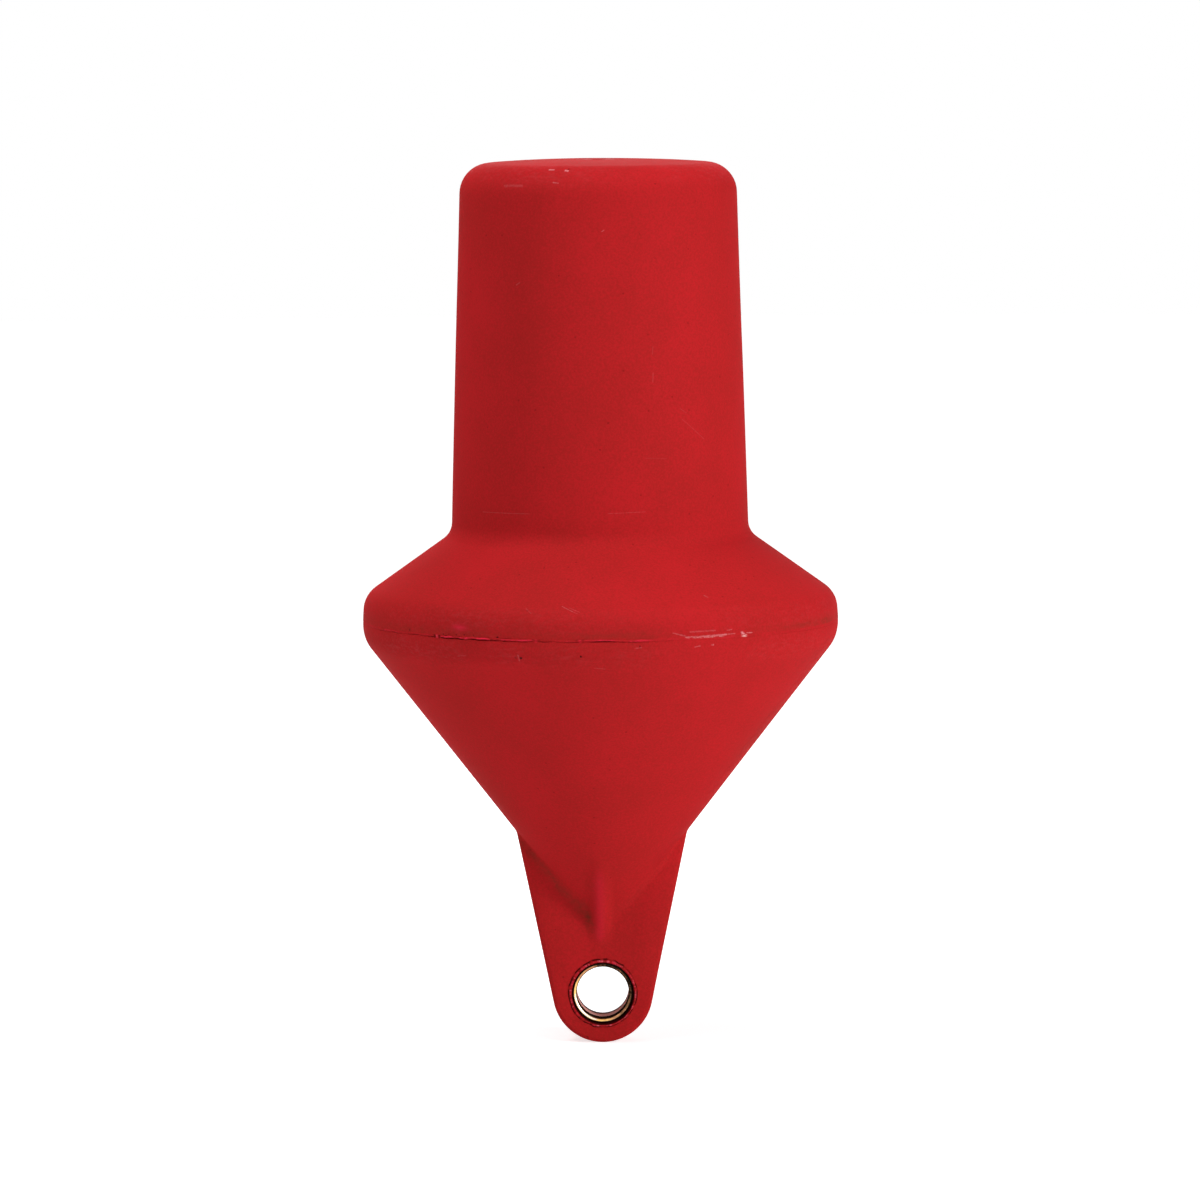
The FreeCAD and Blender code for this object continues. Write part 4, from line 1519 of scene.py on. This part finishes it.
@dataclass(frozen=True)
class FillingPlug:
    """The screwed plug in the middle of the dome, through which the hull was filled with foam."""

    sizes: Sizes
    key_corner: float = 0.007
    key_depth: float = 0.003
    groove_radius: float = 0.0144
    groove_depth: float = 0.0006
    roundings: tuple[float, ...] = (0.5 * MM, 1 * MM, *[0.2 * MM] * 5, 0.3 * MM)
    columns: int = 192
    step: float = 0.8 * MM

    def build(self) -> Piece:
        """Rings that pass from round to six-sided: r = R ((1 - m) + m cos 30 / cos((b mod 60) - 30)).

        Returns:
            The piece.
        """
        sizes, face, key = self.sizes, self.sizes.plug_face, self.key_corner
        edge, groove, sunk = sizes.plug_radius, self.groove_radius, self.groove_depth
        corners = [
            (0, sizes.plug_floor), (edge, sizes.plug_floor), (edge, face), (groove + sunk, face),
            (groove, face - sunk), (groove - sunk, face), (key + 0.5 * MM, face), (key, face - 0.5 * MM),
            (key, face - self.key_depth), (0, face - self.key_depth),
        ]
        outline = rounded_profile(corners, self.roundings, self.step)
        radius, height = outline[:, :1], outline[:, 1:]
        turn = bearings(self.columns)[None]
        sixth = TURN / 6
        hexagon = math.cos(sixth / 2) / np.cos(turn % sixth - sixth / 2)
        sided = (1 - smooth(radius, key, 13 * MM)) * (height > sizes.plug_floor + 1 * MM)
        radius = radius * (1 - sided * (1 - hexagon))
        # Painted shade: the key's recess and the groove are painted darker the deeper they lie below the
        # face.
        crevice_shade = smooth(face - height, 0.1 * MM, 2 * MM) * 0.4 * (radius < 0.016)
        marks = {"wear": np.full_like(crevice_shade, 0.12), "crevice_shade": crevice_shade}
        faces = ring_quads(len(outline), self.columns)
        return make_piece("plug", placed(radius, turn, height), [faces], marks)

    def make(self) -> list[Piece]:
        """The plug in its own smoother plastic.

        Returns:
            The finished plug, in a list of one.
        """
        plastic = MouldedPlastic(
            colour=(0.42, 0.008, 0.01, 1), shade=(0.34, 0.006, 0.008, 1), whitened=(0.6, 0.16, 0.17, 1),
            roughness=0.42,
        )
        return [finished(self.build(), plastic.material("plug_red"), Slot.PLUG, "filling_plug")]


# ---- the studio ------------------------------------------------------------------------------------


def looking_back(bearing: float, elevation: float, distance: float) -> Matrix:
    """A place at a distance from the origin, turned so that its own -Z looks back there.

    Args:
        bearing: The bearing of the place from the origin, in degrees.
        elevation: How high it is, in degrees.
        distance: How far off it is.

    Returns:
        The place as a matrix.
    """
    up, turn = math.radians(elevation), math.radians(bearing)
    away = Vector((math.cos(up) * math.sin(turn), -math.cos(up) * math.cos(turn), math.sin(up)))
    return Matrix.Translation(away * distance) @ away.to_track_quat("Z", "Y").to_matrix().to_4x4()


@dataclass(frozen=True)
class Lamp:
    """A soft rectangular lamp that points at the buoy."""

    name: str
    bearing: float
    elevation: float
    distance: float
    width: float
    height: float
    power: float

    def make(self) -> None:
        """The lamp, at its bearing and elevation in degrees from the buoy's middle and turned towards it."""
        data = bpy.data.lights.new(self.name, "AREA")
        data.shape = "RECTANGLE"
        data.size, data.size_y, data.energy = self.width, self.height, self.power
        added(self.name, data).matrix_world = looking_back(self.bearing, self.elevation, self.distance)


@dataclass(frozen=True)
class Studio:
    """A pale floor under the lug, soft lamps, a white surround and the camera."""

    sizes: Sizes
    camera_distance: float = 6.0
    camera_elevation: float = 5.2
    camera_roll: float = -0.336
    lens: float = 213.7
    aim: Triple = (-0.0004, 0, 0.0157)
    floor_radius: float = 12.0
    ambient: float = 0.08
    floor_glow: float = 0.17
    lamps: tuple[Lamp, ...] = (
        Lamp("key", 55, 18.5, 3.0, 0.4, 0.95, 41.8),
        Lamp("low_right", 42, -1, 3.0, 0.6, 0.4, 6.5),
        Lamp("overhead", -90, 79, 3.2, 2.2, 2.2, 42),
        Lamp("overhead_left", -55, 60, 3.13, 1.6, 1.6, 38),
        Lamp("side_right", 85, 2, 3.0, 0.8, 0.8, 3.5),
        Lamp("side_left", -80, 2, 3.0, 0.8, 0.8, 1.3),
        Lamp("back", 180, 30, 3.0, 1.5, 1.5, 15),
    )

    def seen(self, wiring: Wiring) -> Socket:
        """1 for rays from the camera, straight or off gloss or through glass, and 0 for those that light."""
        path = wiring.add("LightPath").outputs
        return wiring.largest([path["Is Camera Ray"], path["Is Glossy Ray"], path["Is Transmission Ray"]])

    def make_floor(self) -> None:
        """A round floor that touches the lug's lowest point, white to the camera, less so near the buoy."""
        ring = placed(np.array([[0.0], [self.floor_radius]]), bearings(96)[None], self.sizes.lug_bottom)
        floor = make_piece("floor", ring, [ring_quads(2, 96)])
        material, wiring, shader = new_material("floor_white")
        away = wiring.vector("LENGTH", wiring.add("TexCoord").outputs["Object"])
        glow = wiring.times(self.seen(wiring), wiring.ramp(away, 0.45, 1.4, 0.72, 1.0))
        wiring.fill(shader, {
            "Base Color": (0.8, 0.8, 0.8, 1),
            "Roughness": 0.9,
            "Specular IOR Level": 0.0,
            "Emission Color": (1, 1, 1, 1),
            "Emission Strength": wiring.math("MAXIMUM", glow, self.floor_glow),
        })
        floor.data.materials.append(material)

    def make_world(self) -> None:
        """Faint light from all round, and plain white where the camera looks into it."""
        world = bpy.data.worlds.new("surround")
        bpy.context.scene.world = world
        world.use_nodes = True
        wiring = Wiring(world.node_tree)
        strength = wiring.ramp(self.seen(wiring), 0, 1, self.ambient, 1)
        wiring.fill(world.node_tree.nodes["Background"], {"Strength": strength, "Color": (1, 1, 1, 1)})

    def make_camera(self) -> None:
        """A long lens a little above the buoy's middle, rolled a touch."""
        data = bpy.data.cameras.new("camera")
        data.lens = self.lens
        data.clip_end = 100
        camera = added("camera", data)
        place = Matrix.Translation(self.aim) @ looking_back(0, self.camera_elevation, self.camera_distance)
        camera.matrix_world = place @ Matrix.Rotation(math.radians(self.camera_roll), 4, "Z")
        bpy.context.scene.camera = camera

    def make(self) -> None:
        """The floor, the lamps, the surround and the camera."""
        bpy.context.scene.view_settings.view_transform = "Standard"
        self.make_floor()
        for lamp in self.lamps:
            lamp.make()
        self.make_world()
        self.make_camera()


def main() -> None:
    """Builds the buoy's parts in order, then the studio."""
    logging.basicConfig(level=logging.INFO, format="%(name)s: %(message)s")
    sizes = Sizes.from_frame()
    for part in (UpperHull, LowerHull, SeamFlash, EyeCollar, MooringBush, FillingPlug):
        for piece in part(sizes).make():
            log.info("%s: %s, %d faces", part.__name__, piece.name, len(piece.data.polygons))
    Studio(sizes).make()


if __name__ == "__main__":
    main()
